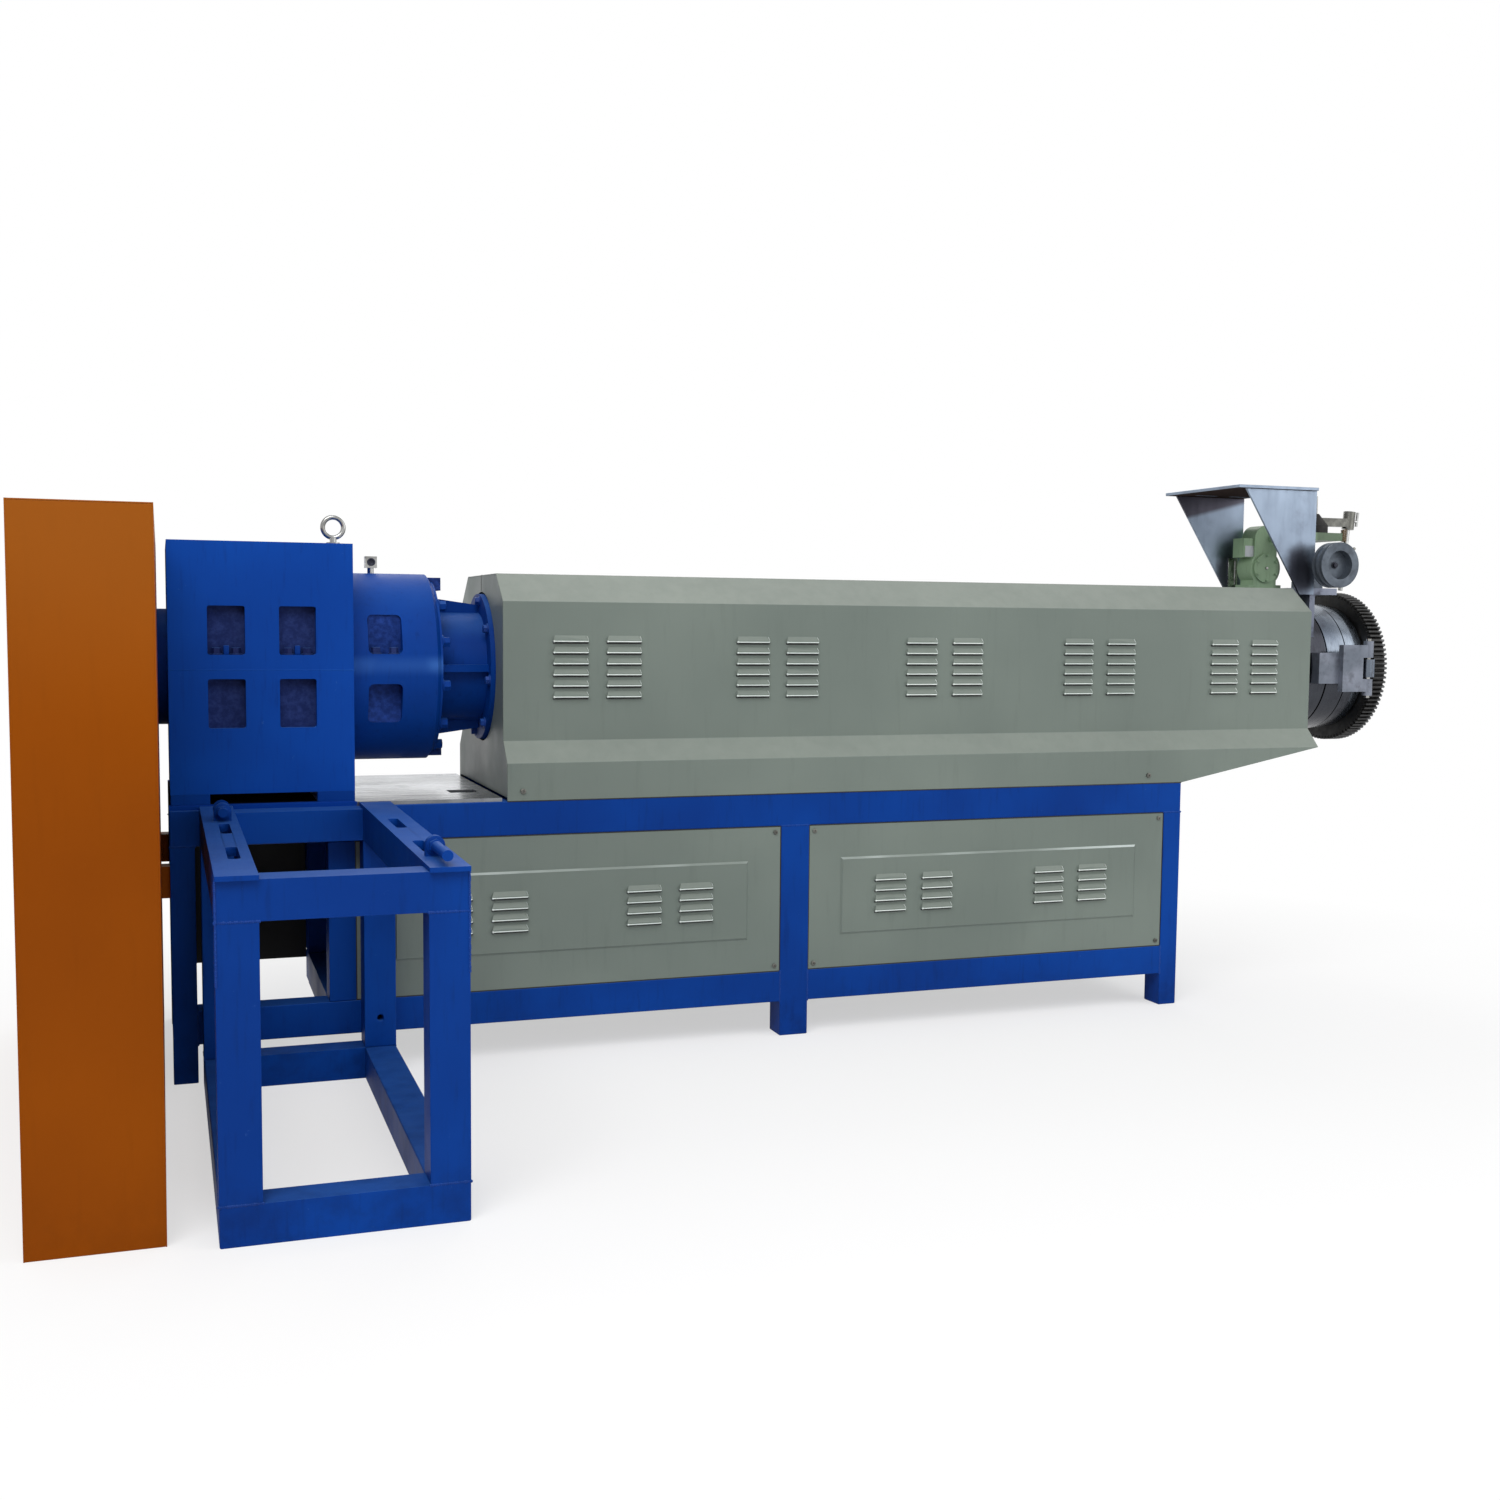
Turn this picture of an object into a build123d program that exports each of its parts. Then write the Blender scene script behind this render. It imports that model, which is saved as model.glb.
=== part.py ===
import math
import os

from build123d import *

# The extruder of a plastic pelletizing line, in millimetres. X runs from the belt guard to the die head,
# Y from the front to the back with the barrel's plane at zero, and Z up from the floor.

# Base frame, welded from tube
frame_length = 2986
frame_width = 740
frame_top = 702
rail_depth = 80
top_rail_height = 92
lower_rail_bottom = 100
lower_rail_height = 88
end_leg_width = 60
middle_leg_width = 85
bay_post_width = 68
open_bay_width = 328

# Deck plate under the gearbox, inside the line of the hood's skirts
deck_length = 845
deck_thickness = 10
deck_side_gap = 2
deck_slot_length = 77
deck_slot_width = 75
deck_slot_inset = 73
deck_slot_offset = 162

# Bay panels with a raised field and pressed louvres
panel_thickness = 4
panel_inset = 2
field_height = 214
field_end_margin = 106
field_stand_gap = 14
field_rise = 4
louvre_length = 104
louvre_height = 17
louvre_rise = 10
louvre_end_slope = 8
louvre_lip_inset = 2
louvre_lip = 5
louvre_pitch = 30.5
louvre_column = 151
panel_louvre_rows = 4
panel_louvre_shift = 5
panel_group_shares = (0.231, 0.769)
short_panel_drop = 25

# Motor stand in front of the frame
stand_left = 72
stand_width = 476
stand_length = 1176
stand_tube = 80
motor_rail_wall = 10
motor_plate_thickness = 10
motor_plate_overhang = 14
motor_slot_width = 24
motor_slot_length = 180
motor_slot_shift = 5.5
motor_slot_spacing = 406
motor_centre_share = 4 / 7
motor_shaft_height = 250
stand_bolt_height = 156
stand_bolt_radius = 8
tension_lug_thickness = 16
tension_lug_radius = 20
tension_bolt_rise = 22
tension_slot_gap = 56
tension_bolt_radius = 11
tension_bolt_tail = 30
tension_bolt_reach = 90

# Belt guard
guard_gap = 21
guard_width = 250
guard_setback = 46
guard_length = 1995
guard_rise = 343
guard_sheet = 3
guard_cap_clearance = 9
guard_slot_length = 300
guard_slot_height = 110
guard_bracket_width = 60
guard_bracket_height = 80
guard_bracket_drop = 130

# Gearbox case
case_left = 4
case_length = 458
case_width = 660
axis_rise = 343
upper_case_height = 328
foot_height = 26
foot_length = 96
window_width = 92
window_height = 126
window_depth = 25
window_corner = 6
window_side_margin = 95
window_rise = 39
lower_window_drop = 23
upper_window_height = 125
cap_radius = 156
cap_length = 50

# Gearbox nose, collar, lantern and barrel flange
nose_radius = 261
nose_length = 242
nose_chamfer = 12
nose_window_left = 47
nose_window_length = 90
nose_window_height = 105
nose_window_rise = 40
nose_window_floor = 212
nose_window_corner = 14
collar_radius = 243
collar_length = 5
ear_width = 90
ear_rise = 8
ear_depth = 36
ear_length = 42
lantern_radius = 154
lantern_length = 137
rib_thickness = 20
rib_foot_radius = 195
rib_tip_radius = 176
rib_count = 4
flange_radius = 208
flange_thickness = 25

# Fittings on the gearbox
eye_inset = 34
eye_offset = 170
eye_ring_radius = 27
eye_bar_radius = 6.5
eye_collar_radius = 18
eye_collar_height = 9
eye_stem_radius = 9
eye_centre_rise = 49
breather_offset = 84
breather_size = 32
breather_stem_radius = 9
breather_stem_rise = 15

# Barrel inside the hood
barrel_radius = 105
barrel_setback = 63
band_thickness = 25
band_length = 210
band_gap = 60
support_thickness = 40
support_width = 240

# Hood of folded sheet in two halves
hood_flange_lap = 12
hood_overhang = 517
hood_sheet = 4
skirt_height = 102
flare_depth = 56
flare_rise = 57.5
hood_wall_rise = 185
shoulder_depth = 99
shoulder_rise = 77
hood_tail_rise = 102
flange_clearance = 6
hood_louvre_rows = 6
hood_louvre_drop = 76
hood_louvre_groups = 5
first_group_share = 0.0994
group_pitch_share = 0.2008

# Die housing on the barrel's end
die_neck_radius = 150
die_neck_length = 120
die_cone_length = 26
die_length = 185
die_radius = 216
die_groove_depth = 9
die_groove_width = 6
die_groove_offset = 64
die_step_offset = 143
die_step = 2

# Hinge of the die door
hinge_reach = 8
hinge_offset = 46
knuckle_radius = 16
pin_radius = 8
pin_clearance = 0.05
hinge_height = 181
door_knuckle_height = 59
knuckle_gap = 6
pin_overhang = 8
bracket_inset = 5
bracket_setback = 20
bracket_bar_height = 102
bracket_plate_length = 82
bracket_plate_height = 155
bracket_plate_thickness = 22

# Die door with the toothed lock ring
door_gap = 5
door_setback = 8
door_thickness = 30
ring_gap = 5
ring_thickness = 53
ring_bore = 190
tooth_module = 5
tooth_count = 100
tooth_depth_share = 2.25
tooth_tip_share = 0.38
tooth_root_share = 0.70
die_plate_radius = 205
die_plate_thickness = 15
strand_hole_radius = 5
strand_hole_count = 24
strand_circle_radius = 120

# Die drive: bracket of two side plates under a slotted top plate
drive_half_width = 190
drive_plate_thickness = 8
drive_clearance = 27
drive_height = 342
drive_reach = 14
drive_top_length = 279
drive_foot_length = 56
drive_lid_thickness = 10
drive_lid_overhang = 9
drive_lid_left_overhang = 35
drive_slot_width = 14
drive_slot_length = 90
drive_slot_spacing_x = 140
drive_slot_spacing_y = 280
drive_slot_edge = 54
base_left_reach = 69
base_right_reach = 101
base_thickness = 22
post_inset = 5
post_length = 21
post_width = 80

# V-belt pulley, its shaft and bearing
shaft_reach = 26
shaft_rise = 74
shaft_radius = 14
shaft_tail = 12
pulley_gap = 45
pulley_width = 50
pulley_radius = 74
pulley_groove_depth = 13
pulley_groove_width = 16
pulley_groove_count = 2
groove_slope_share = 1 / 3
pulley_recess_radius = 47
pulley_recess_depth = 30
bearing_inset = 40
bearing_thickness = 40
bearing_radius = 35
bearing_foot_length = 96
bearing_foot_height = 22

# Reducer between the side plates
reducer_gap = 20
reducer_width = 75
reducer_foot_length = 134
reducer_foot_height = 16
lower_drum_radius = 62
upper_drum_radius = 46
upper_drum_rise = 102
cover_radius = 50
cover_thickness = 8
terminal_reach = 25
terminal_rise = 37
terminal_height = 66
terminal_width = 60
ledge_start = 14
ledge_reach = 155
ledge_edge = 1
ledge_drop = 12
ledge_height = 26

# Lock rod of the ring, with its arm
rod_offset = 70
rod_radius = 8
rod_gap = 6
rod_lean = 6
swivel_reach = 76
swivel_radius = 39
swivel_height = 65
swivel_tip_radius = 9
swivel_cone_height = 40
arm_rise = 24
arm_height = 28
arm_thickness = 26
boss_radius = 20
boss_rise = 16
boss_height = 60
handle_stub_radius = 5
handle_offset = 34
handle_length = 48
handle_low_share = 1 / 3

# One overrun serves all cuts.
overrun = 20

# Places worked out from the sizes above
half_width = frame_width / 2
front_face = -half_width
rail_bottom = frame_top - top_rail_height
lower_rail_top = lower_rail_bottom + lower_rail_height
post_x = end_leg_width + open_bay_width
bay_left = post_x + bay_post_width
bay_length = (frame_length - end_leg_width - middle_leg_width - bay_left) / 2
middle_leg_x = bay_left + bay_length
right_bay_left = middle_leg_x + middle_leg_width
right_leg_x = frame_length - end_leg_width
deck_top = frame_top + deck_thickness
axis_height = deck_top + axis_rise
group_width = louvre_column + louvre_length
stand_right = stand_left + stand_width
stand_front = front_face - stand_length
stand_rail_bottom = frame_top - stand_tube
motor_plate_top = frame_top + motor_plate_thickness
motor_plate_front = stand_front - motor_plate_overhang
motor_centre_y = front_face - motor_centre_share * stand_length
guard_right = -guard_gap
guard_left = guard_right - guard_width
guard_front = stand_front + guard_setback
guard_rear = guard_front + guard_length
guard_height = axis_height + guard_rise
guard_slot_z = motor_plate_top + motor_shaft_height
case_right = case_left + case_length
case_bottom = deck_top + foot_height
case_top = axis_height + upper_case_height
nose_end = case_right + nose_length
collar_end = nose_end + collar_length
lantern_end = collar_end + lantern_length
flange_end = lantern_end + flange_thickness
hood_left = lantern_end + hood_flange_lap
hood_right = frame_length + hood_overhang
hood_length = hood_right - hood_left
hood_wall = half_width - flare_depth
hood_flat = hood_wall - shoulder_depth
skirt_top = frame_top + skirt_height
wall_top = axis_height + hood_wall_rise
hood_top = wall_top + shoulder_rise
barrel_end = hood_right - barrel_setback
die_neck_end = barrel_end + die_neck_length
die_left = die_neck_end + die_cone_length
die_groove_x = die_left + die_groove_offset
die_step_x = die_left + die_step_offset
die_right = die_left + die_length
hinge_x = die_right + hinge_reach
hinge_y = -die_radius - hinge_offset
hinge_bottom = axis_height - hinge_height / 2
hinge_top = axis_height + hinge_height / 2
door_knuckle_bottom = axis_height - door_knuckle_height / 2
door_knuckle_top = axis_height + door_knuckle_height / 2
bracket_left = die_left + bracket_inset
bracket_right = die_right - bracket_setback
bracket_bar_bottom = axis_height - bracket_bar_height / 2
bracket_bar_top = axis_height + bracket_bar_height / 2
bracket_plate_left = bracket_right - bracket_plate_length
bracket_plate_bottom = axis_height - bracket_plate_height / 2
bracket_plate_top = axis_height + bracket_plate_height / 2
door_radius = die_radius - door_setback
door_left = die_right + door_gap
door_right = door_left + door_thickness
ring_left = door_right + ring_gap
ring_right = ring_left + ring_thickness
ring_tip = tooth_module * (tooth_count + 2) / 2
die_plate_left = ring_right + ring_gap
die_plate_right = die_plate_left + die_plate_thickness
drive_right = die_left + drive_reach
drive_bottom = axis_height + die_radius + drive_clearance
drive_top = drive_bottom + drive_height
base_left = drive_right - base_left_reach
base_right = drive_right + base_right_reach
base_top = drive_bottom + base_thickness
post_left = die_left + post_inset
shaft_x = drive_right + shaft_reach
shaft_z = base_top + shaft_rise
pulley_rear = -drive_half_width - drive_plate_thickness - pulley_gap
pulley_front = pulley_rear - pulley_width
bearing_front = bearing_inset - drive_half_width
reducer_rear = drive_half_width - reducer_gap
reducer_front = reducer_rear - reducer_width
upper_drum_z = shaft_z + upper_drum_rise
ledge_bottom = upper_drum_z - ledge_drop
ledge_top = ledge_bottom + ledge_height
rod_x = (ring_left + ring_right) / 2
rod_y = -rod_offset
rod_bottom = axis_height + ring_tip + rod_gap
swivel_x = shaft_x + swivel_reach
boss_bottom = ledge_top + boss_rise
boss_top = boss_bottom + boss_height

# The origin is at the floor under the middle of the whole machine.
middle_x = (guard_left + die_plate_right) / 2
middle_y = (motor_plate_front + guard_rear) / 2
to_origin = Pos(-middle_x, -middle_y, 0)


def block(x0, x1, y0, y1, z0, z1):
    corner = (Align.MIN, Align.MIN, Align.MIN)
    return Pos(x0, y0, z0) * Box(x1 - x0, y1 - y0, z1 - z0, align=corner)


def bar_x(x0, x1, y, z, radius):
    return Pos(x0, y, z) * Rot(0, 90, 0) * Cylinder(
        radius, x1 - x0, align=(Align.CENTER, Align.CENTER, Align.MIN)
    )


def bar_y(x, y0, y1, z, radius):
    return Pos(x, y1, z) * Rot(90, 0, 0) * Cylinder(
        radius, y1 - y0, align=(Align.CENTER, Align.CENTER, Align.MIN)
    )


def bar_z(x, y, z0, z1, radius):
    return Pos(x, y, z0) * Cylinder(
        radius, z1 - z0, align=(Align.CENTER, Align.CENTER, Align.MIN)
    )


def across(x):
    """A drawing plane square to the barrel, with Y to the right and Z up."""
    return Plane(origin=(x, 0, 0), x_dir=(0, 1, 0), z_dir=(1, 0, 0))


def along(y):
    """A drawing plane along the barrel, with X to the right and Z up."""
    return Plane(origin=(0, y, 0), x_dir=(1, 0, 0), z_dir=(0, -1, 0))


def both_sides(solid):
    return [solid, mirror(solid, about=Plane.XZ)]


def save(name, *solids):
    placed = [to_origin * solid for solid in solids]
    shape = placed[0] if len(placed) == 1 else Compound(children=placed)
    export_step(shape, f"parts/{name}.step")


def louvre(x, y, z):
    """A pressed louvre that opens downwards: its ends draw in upwards, and it rises to a lip at its foot."""
    top = z + louvre_height
    right = x + louvre_length
    top_left = x + louvre_end_slope
    top_right = right - louvre_end_slope
    foot = Polyline((x, z), (right, z), (top_right, top), (top_left, top), close=True)
    lip_left = x + louvre_lip_inset
    lip_right = right - louvre_lip_inset
    lip_top = z + louvre_lip
    lip = Polyline((lip_left, z), (lip_right, z), (lip_right, lip_top), (lip_left, lip_top), close=True)
    return loft([along(y) * make_face(foot), along(y - louvre_rise) * make_face(lip)])


def base_frame():
    leg_places = (
        (0, end_leg_width),
        (middle_leg_x, right_bay_left),
        (right_leg_x, frame_length),
    )
    inner = half_width - rail_depth
    legs = []
    for left, right in leg_places:
        legs += both_sides(block(left, right, front_face, -inner, 0, rail_bottom))
    legs += both_sides(block(post_x, bay_left, front_face, -inner, lower_rail_top, rail_bottom))
    save("base_legs", *legs)
    save("base_top_rails", *both_sides(block(0, frame_length, front_face, -inner, rail_bottom, frame_top)))

    def lower_rail(left, right):
        return block(left, right, front_face, -inner, lower_rail_bottom, lower_rail_top)

    rear_rail = mirror(lower_rail(post_x, middle_leg_x), about=Plane.XZ)
    right_rails = both_sides(lower_rail(right_bay_left, right_leg_x))
    save("base_lower_rails", lower_rail(end_leg_width, middle_leg_x), rear_rail, *right_rails)

    top_cross = []
    lower_cross = []
    cross_places = (
        (0, end_leg_width),
        (post_x, bay_left),
        (middle_leg_x, right_bay_left),
        (right_leg_x, frame_length),
    )
    for left, right in cross_places:
        top_cross.append(block(left, right, -inner, inner, rail_bottom, frame_top))
        lower_cross.append(block(left, right, -inner, inner, lower_rail_bottom, lower_rail_top))
    save("base_cross_rails", *top_cross, *lower_cross)


def deck_plate():
    deck_half = half_width - hood_sheet - deck_side_gap
    plate = block(0, deck_length, -deck_half, deck_half, frame_top, deck_top)
    slot_x = deck_length - deck_slot_inset
    slot = block(
        slot_x - deck_slot_length / 2,
        slot_x + deck_slot_length / 2,
        -deck_slot_offset - deck_slot_width / 2,
        -deck_slot_offset + deck_slot_width / 2,
        frame_top - overrun,
        deck_top + overrun,
    )
    save("deck_plate", plate - slot)


def louvre_block(middle, y, bottom, rows):
    """Two columns of louvres, centred along the panel on the place given."""
    louvres = []
    for column in range(2):
        x = middle - group_width / 2 + column * louvre_column
        for row in range(rows):
            louvres.append(louvre(x, y, bottom + row * louvre_pitch))
    return louvres


def bay_panel(left, field_left):
    right = left + bay_length
    face_y = front_face + panel_inset
    panel = block(left, right, face_y, face_y + panel_thickness, lower_rail_top, rail_bottom)
    field_right = right - field_end_margin
    field_y = face_y - field_rise
    field_bottom = (lower_rail_top + rail_bottom - field_height) / 2
    panel += block(field_left, field_right, field_y, face_y, field_bottom, field_bottom + field_height)
    rows_height = louvre_height + louvre_pitch * (panel_louvre_rows - 1)
    bottom = field_bottom + (field_height - rows_height) / 2 + panel_louvre_shift
    for share in panel_group_shares:
        middle = field_left + share * (field_right - field_left)
        panel += louvre_block(middle, field_y, bottom, panel_louvre_rows)
    return panel


def bay_panels():
    left_panel = bay_panel(bay_left, stand_right + field_stand_gap)
    right_panel = bay_panel(right_bay_left, right_bay_left + field_end_margin)
    save("front_panel_left", left_panel)
    save("front_panel_right", right_panel)
    rear_left = mirror(left_panel, about=Plane.XZ)
    rear_right = mirror(right_panel, about=Plane.XZ)
    face_y = half_width - panel_inset
    short_bottom = lower_rail_top - short_panel_drop
    short = block(end_leg_width, post_x, face_y - panel_thickness, face_y, short_bottom, rail_bottom)
    save("rear_panels", short, rear_left, rear_right)


def motor_rail(left, slot_x):
    """An inverted channel under a flat plate, with two slots along its top for the motor's feet."""
    right = left + stand_tube
    front = stand_front + stand_tube
    rear = front_face - stand_tube
    rail = block(left, right, front, rear, stand_rail_bottom, frame_top)
    rail += block(left, right, motor_plate_front, front_face, frame_top, motor_plate_top)
    rail -= block(
        left + motor_rail_wall,
        right - motor_rail_wall,
        front - overrun,
        rear + overrun,
        stand_rail_bottom - overrun,
        frame_top - motor_rail_wall,
    )
    for step in (-1, 1):
        slot_y = motor_centre_y + step * motor_slot_spacing / 2
        outline = Pos(slot_x, slot_y, stand_rail_bottom) * Rot(0, 0, 90) * SlotOverall(
            motor_slot_length, motor_slot_width
        )
        rail -= extrude(outline, stand_tube + motor_plate_thickness + overrun)
    return rail


def motor_stand():
    left_inner = stand_left + stand_tube
    right_inner = stand_right - stand_tube
    front_inner = stand_front + stand_tube
    rear_inner = front_face - stand_tube
    posts = []
    cross_rails = []
    for front in (stand_front, rear_inner):
        rear = front + stand_tube
        cross_rails.append(block(stand_left, stand_right, front, rear, 0, stand_tube))
        cross_rails.append(block(stand_left, stand_right, front, rear, stand_rail_bottom, frame_top))
        for left in (stand_left, right_inner):
            post = block(left, left + stand_tube, front, rear, stand_tube, stand_rail_bottom)
            if front == rear_inner:
                middle = left + stand_tube / 2
                post -= bar_y(middle, front - overrun, rear + overrun, stand_bolt_height, stand_bolt_radius)
            posts.append(post)
    save("stand_posts", *posts)
    save("stand_cross_rails", *cross_rails)
    left_low = block(stand_left, left_inner, front_inner, rear_inner, 0, stand_tube)
    right_low = block(right_inner, stand_right, front_inner, rear_inner, 0, stand_tube)
    save("stand_floor_rails", left_low, right_low)
    slot_inset = stand_tube / 2 + motor_slot_shift
    left_rail = motor_rail(stand_left, stand_left + slot_inset)
    right_rail = motor_rail(right_inner, stand_right - slot_inset)
    save("motor_rails", left_rail, right_rail)

    slot_end = (motor_slot_spacing + motor_slot_length) / 2 + tension_slot_gap
    left_lug = motor_centre_y + slot_end
    right_lug = motor_centre_y - slot_end - tension_lug_thickness
    left_bolt = tension_bolt(
        stand_left + slot_inset, left_lug, left_lug - tension_bolt_tail, left_lug + tension_bolt_reach
    )
    right_bolt = tension_bolt(
        stand_right - slot_inset, right_lug, motor_plate_front, right_lug + tension_bolt_tail
    )
    save("tension_bolts", left_bolt, right_bolt)


def tension_bolt(x, lug_front, bolt_front, bolt_rear):
    """A bolt along the motor rail, held in a lug with a round top."""
    bolt_z = motor_plate_top + tension_bolt_rise
    lug_rear = lug_front + tension_lug_thickness
    left = x - tension_lug_radius
    right = x + tension_lug_radius
    lug = block(left, right, lug_front, lug_rear, motor_plate_top, bolt_z)
    lug += bar_y(x, lug_front, lug_rear, bolt_z, tension_lug_radius)
    return lug + bar_y(x, bolt_front, bolt_rear, bolt_z, tension_bolt_radius)


def belt_guard():
    inside_left = guard_left + guard_sheet
    inside_right = guard_right - guard_sheet
    lid = guard_height - guard_sheet
    save("guard_outer_side", block(guard_left, inside_left, guard_front, guard_rear, 0, guard_height))
    inner = block(inside_right, guard_right, guard_front, guard_rear, 0, guard_height)
    cut_left = inside_right - overrun
    cut_right = guard_right + overrun
    inner -= bar_x(cut_left, cut_right, 0, axis_height, cap_radius + guard_cap_clearance)
    inner -= block(
        cut_left,
        cut_right,
        motor_centre_y - guard_slot_length / 2,
        motor_centre_y + guard_slot_length / 2,
        guard_slot_z - guard_slot_height / 2,
        guard_slot_z + guard_slot_height / 2,
    )
    save("guard_inner_side", inner)
    save("guard_front", block(inside_left, inside_right, guard_front, guard_front + guard_sheet, 0, lid))
    save("guard_rear", block(inside_left, inside_right, guard_rear - guard_sheet, guard_rear, 0, lid))
    save("guard_top", block(inside_left, inside_right, guard_front, guard_rear, lid, guard_height))
    leg_middle = half_width - rail_depth / 2
    bracket_bottom = rail_bottom - guard_bracket_drop
    bracket = block(
        guard_right,
        0,
        -leg_middle - guard_bracket_width / 2,
        -leg_middle + guard_bracket_width / 2,
        bracket_bottom,
        bracket_bottom + guard_bracket_height,
    )
    save("guard_brackets", *both_sides(bracket))


def case_half(bottom, top, window_bottom, height):
    half_case = case_width / 2
    half = block(case_left, case_right, -half_case, half_case, bottom, top)
    window_offset = window_side_margin + window_width / 2
    for middle in (case_left + window_offset, case_right - window_offset):
        outline = RectangleRounded(window_width, height, window_corner)
        outline = Pos(middle, window_bottom + height / 2) * outline
        half -= both_sides(extrude(along(window_depth - half_case) * outline, window_depth + overrun))
    return half


def gearbox_case():
    lower_window = axis_height - lower_window_drop - window_height
    save("gearbox_lower_case", case_half(case_bottom, axis_height, lower_window, window_height))
    upper_window = axis_height + window_rise
    save("gearbox_upper_case", case_half(axis_height, case_top, upper_window, upper_window_height))
    half_case = case_width / 2
    left_foot = block(case_left, case_left + foot_length, -half_case, half_case, deck_top, case_bottom)
    right_foot = block(case_right - foot_length, case_right, -half_case, half_case, deck_top, case_bottom)
    save("gearbox_feet", left_foot, right_foot)
    save("input_cap", bar_x(case_left - cap_length, case_left, 0, axis_height, cap_radius))


def gearbox_nose():
    outline = Polyline(
        (case_right, 0),
        (case_right, nose_radius),
        (nose_end - nose_chamfer, nose_radius),
        (nose_end, collar_radius),
        (collar_end, collar_radius),
        (collar_end, 0),
        close=True,
    )
    nose = Pos(0, 0, axis_height) * revolve(Plane.XZ * make_face(outline), Axis.X)
    window_x = case_right + nose_window_left + nose_window_length / 2
    for step in (-1, 1):
        window_z = axis_height + step * (nose_window_rise + nose_window_height / 2)
        outline = Pos(window_x, window_z) * RectangleRounded(
            nose_window_length, nose_window_height, nose_window_corner
        )
        pocket = extrude(along(-nose_window_floor) * outline, nose_radius)
        nose -= both_sides(pocket)
    ear_left = nose_end - nose_chamfer
    ear_top = axis_height + collar_radius + ear_rise
    ear = block(ear_left, ear_left + ear_length, -ear_width / 2, ear_width / 2, ear_top - ear_depth, ear_top)
    nose += [ear, mirror(ear, about=Plane.XY.offset(axis_height))]
    save("gearbox_nose", nose)

    lantern = bar_x(collar_end, lantern_end, 0, axis_height, lantern_radius)
    rib_outline = Polyline(
        (collar_end, 0),
        (lantern_end, 0),
        (lantern_end, rib_tip_radius),
        (collar_end, rib_foot_radius),
        close=True,
    )
    half_rib = rib_thickness / 2
    rib = Pos(0, half_rib, 0) * extrude(Plane.XZ * make_face(rib_outline), rib_thickness)
    for turn in range(rib_count):
        lantern += Pos(0, 0, axis_height) * Rot(360 * turn / rib_count + 90, 0, 0) * rib
    save("lantern", lantern)
    save("barrel_flange", bar_x(lantern_end, flange_end, 0, axis_height, flange_radius))


def gearbox_fittings():
    eye_x = case_right - eye_inset
    eye_y = -eye_offset
    eye_z = case_top + eye_centre_rise
    ring = Pos(eye_x, eye_y, eye_z) * Rot(90, 0, 0) * Torus(eye_ring_radius, eye_bar_radius)
    collar = bar_z(eye_x, eye_y, case_top, case_top + eye_collar_height, eye_collar_radius)
    stem = bar_z(eye_x, eye_y, case_top, eye_z - eye_ring_radius, eye_stem_radius)
    save("lifting_eye", ring + collar + stem)

    nose_top = axis_height + nose_radius
    breather_x = case_right + breather_offset
    half = breather_size / 2
    head_bottom = nose_top + breather_stem_rise
    head = block(breather_x - half, breather_x + half, -half, half, head_bottom, head_bottom + breather_size)
    stem = bar_z(breather_x, 0, nose_top - overrun, head_bottom, breather_stem_radius)
    nose_body = bar_x(case_right, nose_end, 0, axis_height, nose_radius)
    save("breather", head + (stem - nose_body))


def barrel():
    save("barrel", bar_x(flange_end, barrel_end, 0, axis_height, barrel_radius))
    middle_support = (middle_leg_x + right_bay_left - support_thickness) / 2
    right_support = (right_leg_x + frame_length - support_thickness) / 2
    supports = []
    for left in (middle_support, right_support):
        plate = block(
            left, left + support_thickness, -support_width / 2, support_width / 2, frame_top, axis_height
        )
        supports.append(plate - bar_x(flange_end, barrel_end, 0, axis_height, barrel_radius))
    save("barrel_supports", *supports)

    spans = (
        (flange_end, middle_support),
        (middle_support + support_thickness, right_support),
        (right_support + support_thickness, barrel_end),
    )
    bands = []
    for left, right in spans:
        count = int((right - left - band_gap) // (band_length + band_gap))
        pitch = (right - left) / max(count, 1)
        for band in range(count):
            start = left + pitch * band + (pitch - band_length) / 2
            outer = bar_x(start, start + band_length, 0, axis_height, barrel_radius + band_thickness)
            bands.append(outer - bar_x(start, start + band_length, 0, axis_height, barrel_radius))
    save("heater_bands", *bands)


def hood_outline(bottom):
    return make_face(
        Polyline(
            (-half_width, bottom),
            (-half_width, skirt_top),
            (-hood_wall, skirt_top + flare_rise),
            (-hood_wall, wall_top),
            (-hood_flat, hood_top),
            (hood_flat, hood_top),
            (hood_wall, wall_top),
            (hood_wall, skirt_top + flare_rise),
            (half_width, skirt_top),
            (half_width, bottom),
            close=True,
        )
    )


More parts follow.
